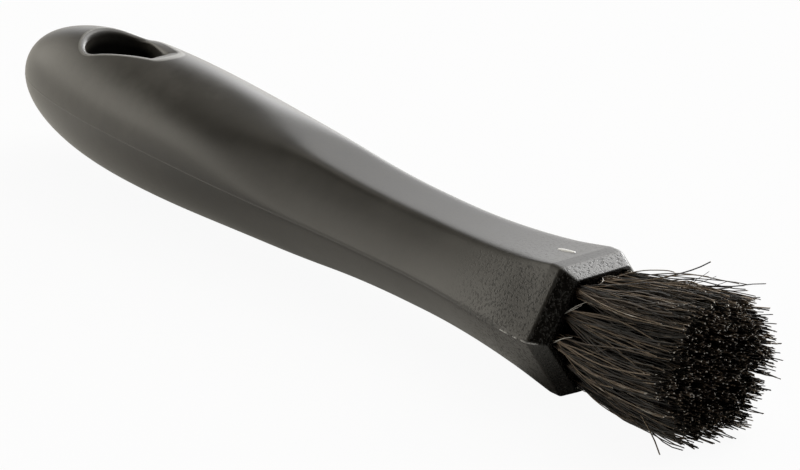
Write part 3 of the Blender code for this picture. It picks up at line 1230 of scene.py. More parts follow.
    @staticmethod
    def _zip_loops(draft: MeshDraft, first: np.ndarray, first_turn: np.ndarray,
                   second: np.ndarray, second_turn: np.ndarray) -> None:
        """Join two loops round the same middle that may have unlike counts, with triangles.

        Args:
            draft: The mesh.
            first: Vertex numbers of a loop.
            first_turn: Angles of its vertices.
            second: Vertex numbers of the other loop.
            second_turn: Angles of its vertices.
        """
        a = first[np.argsort(first_turn)]
        b = second[np.argsort(second_turn)]
        a_turn, b_turn = np.sort(first_turn), np.sort(second_turn)
        i = j = 0
        while i < len(a) or j < len(b):
            next_a = a_turn[i + 1] if i + 1 < len(a) else a_turn[0] + math.tau
            next_b = b_turn[j + 1] if j + 1 < len(b) else b_turn[0] + math.tau
            if i < len(a) and (next_a <= next_b or j >= len(b)):
                draft.faces.append((a[i % len(a)], a[(i + 1) % len(a)], b[j % len(b)]))
                i += 1
            else:
                draft.faces.append((a[i % len(a)], b[(j + 1) % len(b)], b[j % len(b)]))
                j += 1

    def _open_end_face(self, piece: bpy.types.Object, ring: np.ndarray) -> None:
        """Close the end face round its nineteen holes, and sink the holes.

        Args:
            piece: The handle.
            ring: Vertex numbers of the end face's edge.
        """
        bm = bmesh.new()
        bm.from_mesh(piece.data)
        bm.verts.ensure_lookup_table()
        edges = self._loop_edges(bm, [bm.verts[i] for i in ring])
        for y, z in self.holes:
            edges += self._loop_edges(bm, self._sink_hole(bm, y, z))
        bmesh.ops.triangle_fill(
            bm, use_beauty=True, use_dissolve=False, edges=edges, normal=(1, 0, 0))
        loose = [v for v in bm.verts if not v.link_faces]
        bmesh.ops.delete(bm, geom=loose, context="VERTS")
        bmesh.ops.recalc_face_normals(bm, faces=bm.faces)
        bm.to_mesh(piece.data)
        bm.free()
        piece.data.shade_smooth()
        piece.data.set_sharp_from_angle(angle=self.smooth_angle)

    @staticmethod
    def _loop_edges(bm: bmesh.types.BMesh, loop: list[bmesh.types.BMVert]) -> list:
        """The edges round a closed loop, made where they are missing."""
        pairs = zip(loop, loop[1:] + loop[:1])
        return [bm.edges.get(pair) or bm.edges.new(pair) for pair in pairs]

    def _sink_hole(self, bm: bmesh.types.BMesh, y: float, z: float) -> list[bmesh.types.BMVert]:
        """Make one blind hole with a broken edge.

        Args:
            bm: The handle's mesh.
            y: The hole's place across the end face.
            z: The hole's height.

        Returns:
            The loop at its mouth.
        """
        radius = self.hole_diameter / 2
        face_x = self.shape.face_x
        profile = (
            (face_x, radius + self.hole_break),
            (face_x - self.hole_break, radius),
            (face_x - self.hole_depth, radius),
        )
        turns = [math.tau * i / self.hole_sides for i in range(self.hole_sides)]
        rows = []
        for x, reach in profile:
            ring = [(x, y + reach * math.cos(a), z + reach * math.sin(a)) for a in turns]
            rows.append([bm.verts.new(place) for place in ring])
        for near, far in zip(rows, rows[1:]):
            for i in range(self.hole_sides):
                j = (i + 1) % self.hole_sides
                bm.faces.new((near[i], near[j], far[j], far[i]))
        bm.faces.new(rows[-1])
        return rows[0]


@dataclass(frozen=True)
class LooseHairs:
    """Lighter hairs that lie across the outside of the bundle and cross the others."""

    count: int = 7
    points: int = 20
    from_axis: float = 6 * MM
    root_spread: float = 1.5 * MM
    root_share: float = 0.6
    root_out: float = 1.3 * MM
    drift: float = 3.8 * MM
    drift_power: float = 1.3
    bow: float = 1.5 * MM
    lengths: Pair = (0.5, 1.0)
    tip_out: float = 1.9 * MM
    out: float = 1.5 * MM
    swell: float = 0.5 * MM
    thickness: Pair = (0.75, 1.0)
    shades: Pair = (0.5, 0.9)
    # How much of the top row's painted light these hairs take
    top_light_share: float = 0.5


@dataclass(frozen=True)
class Wisps:
    """Shorter hairs of the top row that curl up and away over the rest."""

    count: int = 3
    points: int = 20
    lengths: Pair = (0.66, 0.9)
    root_spread: float = 1.2 * MM
    top_spread: float = 2.2 * MM
    curl_power: float = 4.2
    sideways: Pair = (0.5 * MM, 3.2 * MM)
    sideways_power: float = 2.5
    taper: float = 0.55
    thickness: Pair = (0.7, 1.0)
    shades: Pair = (0.15, 0.6)


@dataclass(frozen=True)
class PaleLoops:
    """Fine pale hairs that loop out over the chamfer from the tufts near its edge."""

    most: int = 2
    points: int = 16
    radius: float = 0.07 * MM
    reaches: Pair = (0.8 * MM, 1.9 * MM)
    swings: Pair = (1.4 * MM, 3.6 * MM)
    root_out: float = 1.7 * MM
    bend_share: float = 0.5
    peak_share: float = 0.6
    end_out: float = 0.2 * MM
    end_swing: float = 1.3
    root_x: float = -0.6 * MM
    bend_x: float = 1.4 * MM
    peak_x: Pair = (1.5 * MM, 4 * MM)
    end_x: Pair = (2 * MM, 7 * MM)


@dataclass(frozen=True)
class HairLook:
    """Sizes and counts of the hair that all the tufts share."""

    folds: int = 64
    sides: int = 5
    outer_rings: int = 12
    root_radius: float = 0.155 * MM
    tip_radius: float = 0.142 * MM
    taper_power: float = 1.5
    thickness: Pair = (0.72, 1.18)
    shade_curve: Pair = (0.85, 1.6)
    plug_radius: float = 1.95 * MM
    least_root_area: float = 0.002
    least_root: float = 0.1 * MM
    root_wander: float = 0.18 * MM
    wire_gap: float = 0.05 * MM
    wire_middle: float = -9.4 * MM
    wire_half_width: float = 1.0 * MM
    wire_half_thickness: float = 0.225 * MM
    fold_spread: float = 0.75 * MM
    fold_height: float = 0.45
    fold_open: float = 1.02
    neck_depth: float = -3.5 * MM
    neck_narrow: Pair = (0.85, 0.97)
    mean_length: float = 37.9 * MM
    length_spread: float = 0.36 * MM
    longest: float = 39.6 * MM
    short_share: float = 0.07
    short_lengths: Pair = (0.5, 0.96)
    long_share: float = 0.03
    long_spread: float = 0.8 * MM
    lift: float = 2.7 * MM
    tip_pitch: float = 6.88 * MM
    splay: float = 2.0
    flare_power: float = 1.65
    lock_size: float = 0.95 * MM
    lock_row: int = 100
    lock_pull: float = 0.4
    lock_wander: float = 0.5 * MM
    wander: float = 0.3 * MM
    lock_wave: float = 0.3 * MM
    lock_turns: Pair = (0.4, 0.9)
    hair_wave: float = 0.46 * MM
    hair_turns: Pair = (0.6, 2.1)
    wave_power: float = 0.7
    crossing_share: float = 0.38
    crossing_wander: float = 2.3 * MM
    stray_share: float = 0.04
    low_stray_share: float = 0.12
    low_edge: float = -13 * MM
    low_edge_lean: float = 0.3
    stray_power: float = 2.6
    stray_reach: float = 2.4 * MM
    stray_room: float = 0.6 * MM
    least_slope: float = 0.05
    # How much paler the top row's hair is painted: painted light falling from above
    top_painted_light: float = 0.16
    palest: float = 0.88
    outer_row: float = 9 * MM
    top_lean: float = 0.6
    cut_slant: float = 0.8
    # Share of cut ends painted fully pale, partly as painted glints
    pale_cut_share: float = 0.4
    dark_cut: float = 0.25
    cut_shuffle: float = 97.0
    cut_thickness: float = 0.02 * MM
    floor_gap: float = 0.35 * MM
    side_reach: float = 18.8 * MM
    top_reach: float = 35.9 * MM
    soft_corner: float = 0.6 * MM
    loose: LooseHairs = LooseHairs()
    wisps: Wisps = Wisps()
    loops: PaleLoops = PaleLoops()

    def _above(self, value: np.ndarray, low: float) -> np.ndarray:
        """Keep values over a low limit, with a soft corner."""
        return low + self.soft_corner * np.logaddexp(0, (value - low) / self.soft_corner)

    def keep_inside(self, lines: np.ndarray) -> np.ndarray:
        """Bend hair softly away from the floor and from the limits of the brush's own box.

        Args:
            lines: Points of hairs, with X, Y and Z last.

        Returns:
            The same points, inside.
        """
        lines[..., 2] = self._above(lines[..., 2], self.floor_gap)
        lines[..., 2] = -self._above(-lines[..., 2], -self.top_reach)
        lines[..., 1] = self._above(lines[..., 1], -self.side_reach)
        lines[..., 1] = -self._above(-lines[..., 1], -self.side_reach)
        return lines


class HairBundle:
    """Gathers tubes for one tuft and makes them one mesh."""

    def __init__(self, look: HairLook, draw: np.random.Generator) -> None:
        """Start with no hair.

        Args:
            look: The hair's sizes and counts.
            draw: The tuft's random numbers.
        """
        self.look = look
        self.draw = draw
        self.draft = MeshDraft()
        self.strands: list[np.ndarray] = []
        self.cuts: list[np.ndarray] = []

    def add(self, lines: np.ndarray, radii: np.ndarray, shades: np.ndarray,
            slant: bool = True) -> None:
        """Add hairs as closed tubes with cut ends.

        Args:
            lines: Centre lines, by hair, point, and X, Y and Z.
            radii: Radius at each point of each hair.
            shades: One shade for each hair, 0 darkest and 1 palest.
            slant: Whether their cuts slant.
        """
        look, sides = self.look, self.look.sides
        slopes = np.zeros((len(lines), 2))
        if slant:
            slopes = self.draw.normal(0, look.cut_slant, slopes.shape)
        lines, radii = self._with_cuts(lines, radii)
        hairs, rings = lines.shape[:2]
        ahead = self._unit(np.gradient(lines, axis=1))
        across = self._unit(np.cross(ahead, (0.0, 0.0, 1.0)))
        up = np.cross(across, ahead)
        turn = math.tau * np.arange(sides) / sides
        spoke = across[:, :, None] * np.cos(turn)[None, None, :, None]
        spoke = spoke + up[:, :, None] * np.sin(turn)[None, None, :, None]
        tube = lines[:, :, None] + spoke * radii[:, :, None, None]
        slope = slopes[:, :1] * np.cos(turn) + slopes[:, 1:] * np.sin(turn)
        for ring, outward in ((0, -1), (1, -1), (-2, 1), (-1, 1)):
            push = outward * slope * radii[:, ring, None]
            tube[:, ring] += ahead[:, ring, None] * push[..., None]
        number = self.draft.add(tube.reshape(-1, 3)).reshape(hairs, rings, sides)
        onward = np.roll(number, -1, axis=2)
        quads = np.stack([number[:, :-1], onward[:, :-1], onward[:, 1:], number[:, 1:]], -1)
        caps = np.concatenate([number[:, 0, ::-1], number[:, -1]])
        self.draft.faces += quads.reshape(-1, 4).tolist()
        self.draft.faces += caps.tolist()
        # Cut ends are painted paler, and a share of them fully: partly the lighter core, partly
        # painted glints
        pale = np.modf(shades * look.cut_shuffle)[0] < look.pale_cut_share
        cut = np.zeros((hairs, rings, sides))
        cut[:, (0, -1)] = (look.dark_cut + (1 - look.dark_cut) * pale)[:, None, None]
        self.strands.append(np.repeat(shades, rings * sides))
        self.cuts.append(cut.ravel())

    @staticmethod
    def _unit(vectors: np.ndarray) -> np.ndarray:
        """The same vectors, each of length 1."""
        return vectors / (np.linalg.norm(vectors, axis=-1, keepdims=True) + TINY)

    def _with_cuts(self, lines: np.ndarray, radii: np.ndarray) -> tuple[np.ndarray, np.ndarray]:
        """Add a ring at each end, a cut's thickness past the last, so that it can be paler: partly
        the hair's lighter core, partly a painted glint.

        Args:
            lines: Centre lines.
            radii: Radius at each of their points.

        Returns:
            The longer lines and their radii.
        """
        first = lines[:, 0] - lines[:, 1]
        last = lines[:, -1] - lines[:, -2]
        first *= self.look.cut_thickness / np.linalg.norm(first, axis=-1, keepdims=True)
        last *= self.look.cut_thickness / np.linalg.norm(last, axis=-1, keepdims=True)
        first = (lines[:, 0] + first)[:, None]
        last = (lines[:, -1] + last)[:, None]
        radii = np.concatenate([radii[:, :1], radii, radii[:, -1:]], 1)
        return np.concatenate([first, lines, last], 1), radii

    def piece(self, name: str, hair: bpy.types.Material) -> bpy.types.Object:
        """Make the mesh object, smooth but for its cuts.

        Args:
            name: Its name.
            hair: Its material.

        Returns:
            The object.
        """
        made = self.draft.piece(name)
        cuts = np.concatenate(self.cuts)
        made.data.shade_smooth()
        ends = np.zeros(len(made.data.edges) * 2, int)
        made.data.edges.foreach_get("vertices", ends)
        sharp = (cuts[ends.reshape(-1, 2)] > 0).all(axis=1)
        made.data.attributes.new("sharp_edge", "BOOLEAN", "EDGE").data.foreach_set("value", sharp)
        set_share(made, "strand", np.concatenate(self.strands))
        set_share(made, "cut", cuts)
        made.data.materials.append(hair)
        return made


@dataclass
class Tuft:
    """One tuft: hairs folded round the wire anchor in the hole, splaying toward their cut tips."""

    number: int
    root: Pair
    tip: Pair
    face_x: float
    axis_z: float
    look: HairLook

    def __post_init__(self) -> None:
        """Find which way the tuft lies from the head's axis, and seed its random numbers."""
        away = np.array(self.root) - (0, self.axis_z)
        self.far = float(np.linalg.norm(away))
        self.outward = away / max(self.far, TINY)
        self.sideways = np.array([-self.outward[1], self.outward[0]])
        self.outermost = self.far > self.look.outer_row
        self.on_top = self.outermost and bool(self.outward[1] > self.look.top_lean)
        self.draw = np.random.default_rng(self.number)

    def build(self, hair: bpy.types.Material) -> bpy.types.Object:
        """Make the tuft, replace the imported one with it, and finish it as hair.

        Args:
            hair: Its material.

        Returns:
            The tuft.
        """
        look, draw = self.look, self.draw
        roots_a, roots_b = self._roots()
        bundle = HairBundle(look, draw)
        ends_a, half_a = self._outer(roots_a)
        ends_b, half_b = self._outer(roots_b)
        fold = self._fold(roots_a, roots_b)
        lines = np.concatenate([ends_a[:, ::-1], fold, ends_b], axis=1)
        rounds = np.full((look.folds, fold.shape[1]), look.root_radius)
        radii = np.concatenate([half_a[:, ::-1], rounds, half_b], axis=1)
        radii *= draw.uniform(*look.thickness, look.folds)[:, None]
        # The top row's hair is painted paler: painted light from above
        shades = draw.beta(*look.shade_curve, look.folds) + self._painted_top_light()
        bundle.add(lines, radii, np.clip(shades, 0, look.palest))
        if self.far >= look.loose.from_axis:
            self._add_loose(bundle)
        if self.on_top:
            self._add_wisps(bundle)
        if self.outermost:
            self._add_pale_loops(bundle)
        piece = bundle.piece(f"hair_tuft_{self.number:02d}", hair)
        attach(piece, "root")
        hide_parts(f"bristle_tuft_{self.number:02d}")
        return piece

    def _painted_top_light(self) -> float:
        """How much paler this tuft's hair is painted, for those along the bundle's top: painted
        light from above.
        """
        return self.look.top_painted_light if self.on_top else 0.0

    def _roots(self) -> tuple[np.ndarray, np.ndarray]:
        """Where the hairs leave the hole, from its middle.

        Returns:
            Rows of Y and Z for one end of each fold, and for the other, past the wire.
        """
        look, draw = self.look, self.draw
        turn = draw.uniform(-math.pi / 2, math.pi / 2, look.folds)
        area = draw.uniform(look.least_root_area, 1, look.folds)
        reach = np.maximum(look.plug_radius * np.sqrt(area) - look.root_radius, look.least_root)
        first = np.stack([reach * np.cos(turn), reach * np.sin(turn)], -1)
        second = first * (-1, 1) + draw.normal(0, look.root_wander, first.shape)
        far = np.linalg.norm(second, axis=1, keepdims=True)
        limit = look.plug_radius - look.root_radius
        second *= np.minimum(1, limit / np.maximum(far, TINY))
        second[:, 0] = np.minimum(second[:, 0], -look.wire_gap)
        return first, second

    def _fold(self, roots_a: np.ndarray, roots_b: np.ndarray) -> np.ndarray:
        """The hidden stretch of each hair: down one side of the wire, round it and up the other.

        Args:
            roots_a: Where the hairs go in.
            roots_b: Where they come out.

        Returns:
            Centre lines, by hair, point, and X, Y and Z.
        """
        look = self.look
        gap = look.wire_half_thickness + look.root_radius
        turn = look.wire_middle - look.wire_half_width
        above = turn + 2 * look.wire_half_width
        narrow_y, narrow_z = look.neck_narrow
        lines = []
        for a, b in zip(roots_a, roots_b):
            wide = gap + look.fold_spread * abs(a[0]) / look.plug_radius
            height = look.fold_height * (a[1] + b[1])
            bottom = turn - (wide - look.wire_half_thickness)
            lines.append((
                (look.neck_depth, a[0] * narrow_y, a[1] * narrow_z),
                (above, wide, height * look.fold_open),
                (turn, wide, height),
                (bottom, 0.0, height),
                (turn, -wide, height),
                (above, -wide, height * look.fold_open),
                (look.neck_depth, b[0] * narrow_y, b[1] * narrow_z),
            ))
        return np.array(lines) + (self.face_x, *self.root)

    def _tips(self, roots: np.ndarray, lock: np.ndarray) -> np.ndarray:
        """Where the tips are across the bundle, gathered into locks, with some that cross.

        Args:
            roots: Where the hairs leave the hole, from its middle.
            lock: Each hair's lock.

        Returns:
            Rows of Y and Z from the head's axis.
        """
        look, draw = self.look, self.draw
        locks = lock.max() + 1
        middle = np.stack([np.bincount(lock, roots[:, axis], locks) for axis in (0, 1)], -1)
        middle /= np.bincount(lock, minlength=locks)[:, None]
        apart = (roots - middle[lock]) * (1 - look.lock_pull)
        tip = np.array(self.tip) + (middle[lock] + apart) * look.splay
        tip += draw.normal(0, look.lock_wander, (locks, 2))[lock]
        tip += draw.normal(0, look.wander, roots.shape)
        crossing = draw.random(len(roots)) < look.crossing_share
        return tip + crossing[:, None] * draw.normal(0, look.crossing_wander, roots.shape)

    def _lengths(self, hairs: int) -> np.ndarray:
        """Lengths outside the hole, mostly alike, with a few short and a few long.

        Args:
            hairs: How many.

        Returns:
            A column of lengths.
        """
        look, draw = self.look, self.draw
        length = draw.normal(look.mean_length, look.length_spread, hairs)
        short = draw.random(hairs) < look.short_share
        length = np.where(short, length * draw.uniform(*look.short_lengths, hairs), length)
        long = draw.random(hairs) < look.long_share
        length += long * draw.exponential(look.long_spread, hairs)
        return np.minimum(length, look.longest)[:, None]

    def _add_waves(self, flow: np.ndarray, lock: np.ndarray, t: np.ndarray) -> None:
        """Wave the hairs, each lock together and each hair by itself.

        Args:
            flow: Y and Z of the hairs, by hair and place along them.
            lock: Each hair's lock.
            t: The places along them, 0 to 1.
        """
        look, draw = self.look, self.draw
        each = np.arange(len(lock))
        kinds = ((lock, look.lock_wave, look.lock_turns), (each, look.hair_wave, look.hair_turns))
        for group, size, turns_range in kinds:
            for axis in (0, 1):
                phase = draw.uniform(0, math.tau, group.max() + 1)[group][:, None]
                turns = draw.uniform(*turns_range, group.max() + 1)[group][:, None]
                wave = np.sin(math.tau * turns * t + phase) - np.sin(phase) * (1 - t)
                flow[..., axis] += size * t**look.wave_power * wave

    def _outer(self, roots: np.ndarray) -> tuple[np.ndarray, np.ndarray]:
        """The visible stretch of each hair, from the hole's mouth to its tip.

        Args:
            roots: Where the hairs leave the hole, from its middle.

        Returns:
            Centre lines and radii.
        """
        look = self.look
        hairs = len(roots)
        t = np.linspace(0, 1, look.outer_rings)[None, :]
        length = self._lengths(hairs)
        cell = np.floor(roots / look.lock_size + self.draw.random(2)).astype(int)
        _, lock = np.unique(cell[:, 0] * look.lock_row + cell[:, 1], return_inverse=True)
        tip = self._tips(roots, lock)
        start = np.array(self.root) - (0, self.axis_z) + roots
        spread = 1 - (1 - t) ** look.flare_power
        flow = start[:, None] + (tip - start)[:, None] * spread[..., None]
        flow += self._strays(tip)[:, None] * t[..., None] ** look.stray_power
        self._add_waves(flow, lock, t)
        set_back = ((tip - start) ** 2).sum(axis=1, keepdims=True) / (2 * length)
        x = self.face_x + t * (length - set_back)
        z = flow[..., 1] + self.axis_z + look.lift * t**2
        lines = np.stack([x, flow[..., 0], z], -1)
        lines[:, 0, 1:] = roots + np.array(self.root)
        radii = look.root_radius + (look.tip_radius - look.root_radius) * t**look.taper_power
        return look.keep_inside(lines), np.repeat(radii, hairs, axis=0)

    def _strays(self, tip: np.ndarray) -> np.ndarray:
        """How far a few hairs stand off at their tips, within the room round the brush.

        Args:
            tip: Rows of Y and Z of the hairs' tips, from the head's axis.

        Returns:
            Rows of Y and Z to add.
        """
        look, draw = self.look, self.draw
        hairs = len(tip)
        outward = tip / np.maximum(np.linalg.norm(tip, axis=1, keepdims=True), TINY)
        low = tip[:, 1] + tip[:, 0] * look.low_edge_lean < look.low_edge
        share = np.where(low, look.low_stray_share, look.stray_share)
        reach = (draw.random(hairs) < share) * draw.exponential(look.stray_reach, hairs)
        height = tip[:, 1] + self.axis_z + look.lift
        side_room = look.side_reach - look.stray_room - np.abs(tip[:, 0])
        up_room = look.top_reach - look.stray_room - height
        down_room = height - look.floor_gap - look.stray_room
        slope_y, slope_z = np.maximum(np.abs(outward), look.least_slope).T
        room = np.minimum(np.where(outward[:, 1] > 0, up_room, down_room) / slope_z,
                          side_room / slope_y)
        return outward * np.clip(np.minimum(reach, room), 0, None)[:, None]

    def _add_loose(self, bundle: HairBundle) -> None:
        """Add the lighter hairs that lie across the outside of the bundle.

        Args:
            bundle: The tuft's hair.
        """
        look, draw, loose = self.look, self.draw, self.look.loose
        column = (loose.count, 1)
        t = np.linspace(0, 1, loose.points)[None, :]
        arch = np.sin(math.pi * t)
        begin = draw.uniform(-loose.root_spread, loose.root_spread, column)
        drift = draw.normal(0, loose.drift, column)
        bow = draw.normal(0, loose.bow, column)
        length = look.mean_length * draw.uniform(*loose.lengths, column)
        part = length / look.mean_length
        rise = (np.array(self.tip) @ self.outward - self.far + loose.tip_out) * part
        along = 1 - (1 - t) ** look.flare_power
        across = begin + drift * t**loose.drift_power + bow * arch
        swell = draw.uniform(0.0, loose.swell, column) * arch
        out = self.far + loose.out + rise * along + swell
        plan = out[..., None] * self.outward + across[..., None] * self.sideways
        height = plan[..., 1] + self.axis_z + look.lift * (t * length / look.mean_length) ** 2
        lines = np.stack([self.face_x + t * length, plan[..., 0], height], -1)
        lines[:, 0, 1:] = (np.array(self.root) + self.outward * loose.root_out
                           + begin * self.sideways * loose.root_share)
        radii = look.tip_radius * draw.uniform(*loose.thickness, column) * np.ones_like(t)
        # Loose hairs of the top row are painted paler too: painted light from above
        shades = draw.uniform(*loose.shades, loose.count) + loose.top_light_share * self._painted_top_light()
        bundle.add(look.keep_inside(lines), radii, np.minimum(shades, look.palest))

    def _add_wisps(self, bundle: HairBundle) -> None:
        """Add the shorter hairs that curl up and away over the rest.

        Args:
            bundle: The tuft's hair.
        """
        look, draw, wisps = self.look, self.draw, self.look.wisps
        column = (wisps.count, 1)
        t = np.linspace(0, 1, wisps.points)[None, :]
        length = look.mean_length * draw.uniform(*wisps.lengths, column)
        spread = draw.uniform(-wisps.root_spread, wisps.root_spread, (wisps.count, 2))
        start = np.array(self.root) + spread
        tip = np.array(self.tip) + (0, self.axis_z + look.lift)
        part = length / look.mean_length
        top = look.top_reach - look.stray_room - draw.uniform(0, wisps.top_spread, column)
        flare = 1 - (1 - t * part) ** look.flare_power
        level = start[:, 1:] + (tip[1] - start[:, 1:]) * flare
        z = level + (top - level[:, -1:]) * t**wisps.curl_power
        swing = draw.uniform(*wisps.sideways, column) * t**wisps.sideways_power
        y = start[:, :1] + (tip[0] - start[:, :1]) * t * part + swing
        lines = np.stack([self.face_x + t * length, y, z], -1)
        thickness = draw.uniform(*wisps.thickness, column)
        radii = look.root_radius * (1 - wisps.taper * t) * thickness
        bundle.add(look.keep_inside(lines), radii, draw.uniform(*wisps.shades, wisps.count))

    def _add_pale_loops(self, bundle: HairBundle) -> None:
        """Add a few fine pale hairs that loop out over the chamfer, or none.

        Args:
            bundle: The tuft's hair.
        """
        draw, loops = self.draw, self.look.loops
        outward, sideways = self.outward, self.sideways
        hairs = int(draw.integers(0, loops.most + 1))
        if hairs == 0:
            return
        t = np.linspace(0, 1, loops.points)[:, None]
        lines = []
        for _ in range(hairs):
            reach = draw.uniform(*loops.reaches)
            swing = draw.uniform(*loops.swings) * draw.choice((-1, 1))
            start = np.array(self.root) + outward * loops.root_out
            bend = start + (outward * reach + sideways * swing) * loops.bend_share
            peak = start + outward * reach * loops.peak_share + sideways * swing
            end = start + outward * loops.end_out + sideways * swing * loops.end_swing
            knots = np.array([
                (loops.root_x, *start),
                (loops.bend_x, *bend),
                (draw.uniform(*loops.peak_x), *peak),
                (draw.uniform(*loops.end_x), *end),
            ])
            curve = ((1 - t) ** 3 * knots[0] + 3 * t * (1 - t) ** 2 * knots[1]
                     + 3 * t * t * (1 - t) * knots[2] + t**3 * knots[3])
            lines.append(curve + (self.face_x, 0, 0))
        radii = np.full((hairs, loops.points), loops.radius)
        bundle.add(self.look.keep_inside(np.array(lines)), radii, np.ones(hairs), slant=False)


@dataclass
class BristleHead:
    """The nineteen tufts, in rows of 3, 4, 5, 4 and 3, and their wire anchors."""

    shape: HandleShape
    look: HairLook
    rows: tuple[int, ...] = (3, 4, 5, 4, 3)

    def roots(self) -> list[Pair]:
        """The holes' places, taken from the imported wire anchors.

        Returns:
            Pairs of Y and Z, row by row from the bottom.
        """
        places = []
        for number in range(1, sum(self.rows) + 1):
            low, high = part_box(f"wire_anchor_{number:02d}")
            places.append(((low.y + high.y) / 2, (low.z + high.z) / 2))
        return places

    def tips(self) -> list[Pair]:
        """The middles of the tufts' tips.

        Returns:
            Pairs of Y and Z from the head's axis, row by row from the bottom.
        """
        row_rise = math.sin(math.radians(60))
        middle = (len(self.rows) - 1) / 2
        places = []
        for row, count in enumerate(self.rows):
            for i in range(count):
                y = (i - (count - 1) / 2) * self.look.tip_pitch
                places.append((y, (row - middle) * row_rise * self.look.tip_pitch))
        return places

    def build(self, hair: bpy.types.Material, steel: bpy.types.Material) -> list[bpy.types.Object]:
        """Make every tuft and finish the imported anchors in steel.

        Args:
            hair: The tufts' material.
            steel: The anchors' material.

        Returns:
            Each tuft and its anchor.
        """
        face_x, axis_z = self.shape.face_x, self.shape.axis_z
        made = []
        for number, (root, tip) in enumerate(zip(self.roots(), self.tips()), 1):
            made.append(Tuft(number, root, tip, face_x, axis_z, self.look).build(hair))
            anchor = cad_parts[f"wire_anchor_{number:02d}"]
            anchor.data.materials.clear()
            anchor.data.materials.append(steel)
            made.append(anchor)
        return made


def direction(azimuth: float, elevation: float) -> Vector:
    """A direction from the brush.

    Args:
        azimuth: Degrees from +X toward +Y.
        elevation: Degrees over the floor.

    Returns:
        A vector of length 1.
    """
    a, e = math.radians(azimuth), math.radians(elevation)
    return Vector((math.cos(a) * math.cos(e), math.sin(a) * math.cos(e), math.sin(e)))


@dataclass(frozen=True)
class Glow:
    """A soft patch of light in the surroundings, with its direction and reach in degrees."""

    azimuth: float
    elevation: float
    reach: float
    strength: float
    colour: Colour = WHITE

    def light(self, nodes: NodeTree, looking: bpy.types.NodeSocket) -> bpy.types.NodeSocket:
        """The patch's light.

        Args:
            nodes: The world's tree.
            looking: The direction looked in.

        Returns:
            Its colour there.
        """
        facing = nodes.add("ShaderNodeVectorMath", operation="DOT_PRODUCT")
        nodes.link(looking, facing.inputs[0])
        facing.inputs[1].default_value = direction(self.azimuth, self.elevation)
        edge = math.cos(math.radians(self.reach))
        strength = nodes.remap(facing.outputs["Value"], edge, 1.0, 0.0, self.strength)
        patch = nodes.add("ShaderNodeVectorMath", operation="SCALE")
        patch.inputs[0].default_value = self.colour
        nodes.link(strength, patch.inputs["Scale"])
        return patch.outputs[0]


@dataclass(frozen=True)
class Lamp:
    """A soft rectangular lamp, with its direction from the brush in degrees."""

    name: str
    azimuth: float
    elevation: float
    distance: float
    width: float
    height: float
    brightness: float
    colour: Colour = (1.0, 0.985, 0.955)

    def hang(self, target: Vector) -> None:
        """Hang the lamp and turn it toward a place.

        Args:
            target: The place.
        """
        data = bpy.data.lights.new(self.name, "AREA")
        data.shape = "RECTANGLE"
        data.size, data.size_y = self.width, self.height
        data.energy = self.brightness * math.pi * self.width * self.height
        data.color = self.colour
        lamp = bpy.data.objects.new(self.name, data)
        bpy.context.scene.collection.objects.link(lamp)
        away = direction(self.azimuth, self.elevation)
        turned = away.to_track_quat("Z", "Y").to_matrix().to_4x4()
        lamp.matrix_world = Matrix.Translation(target + away * self.distance) @ turned


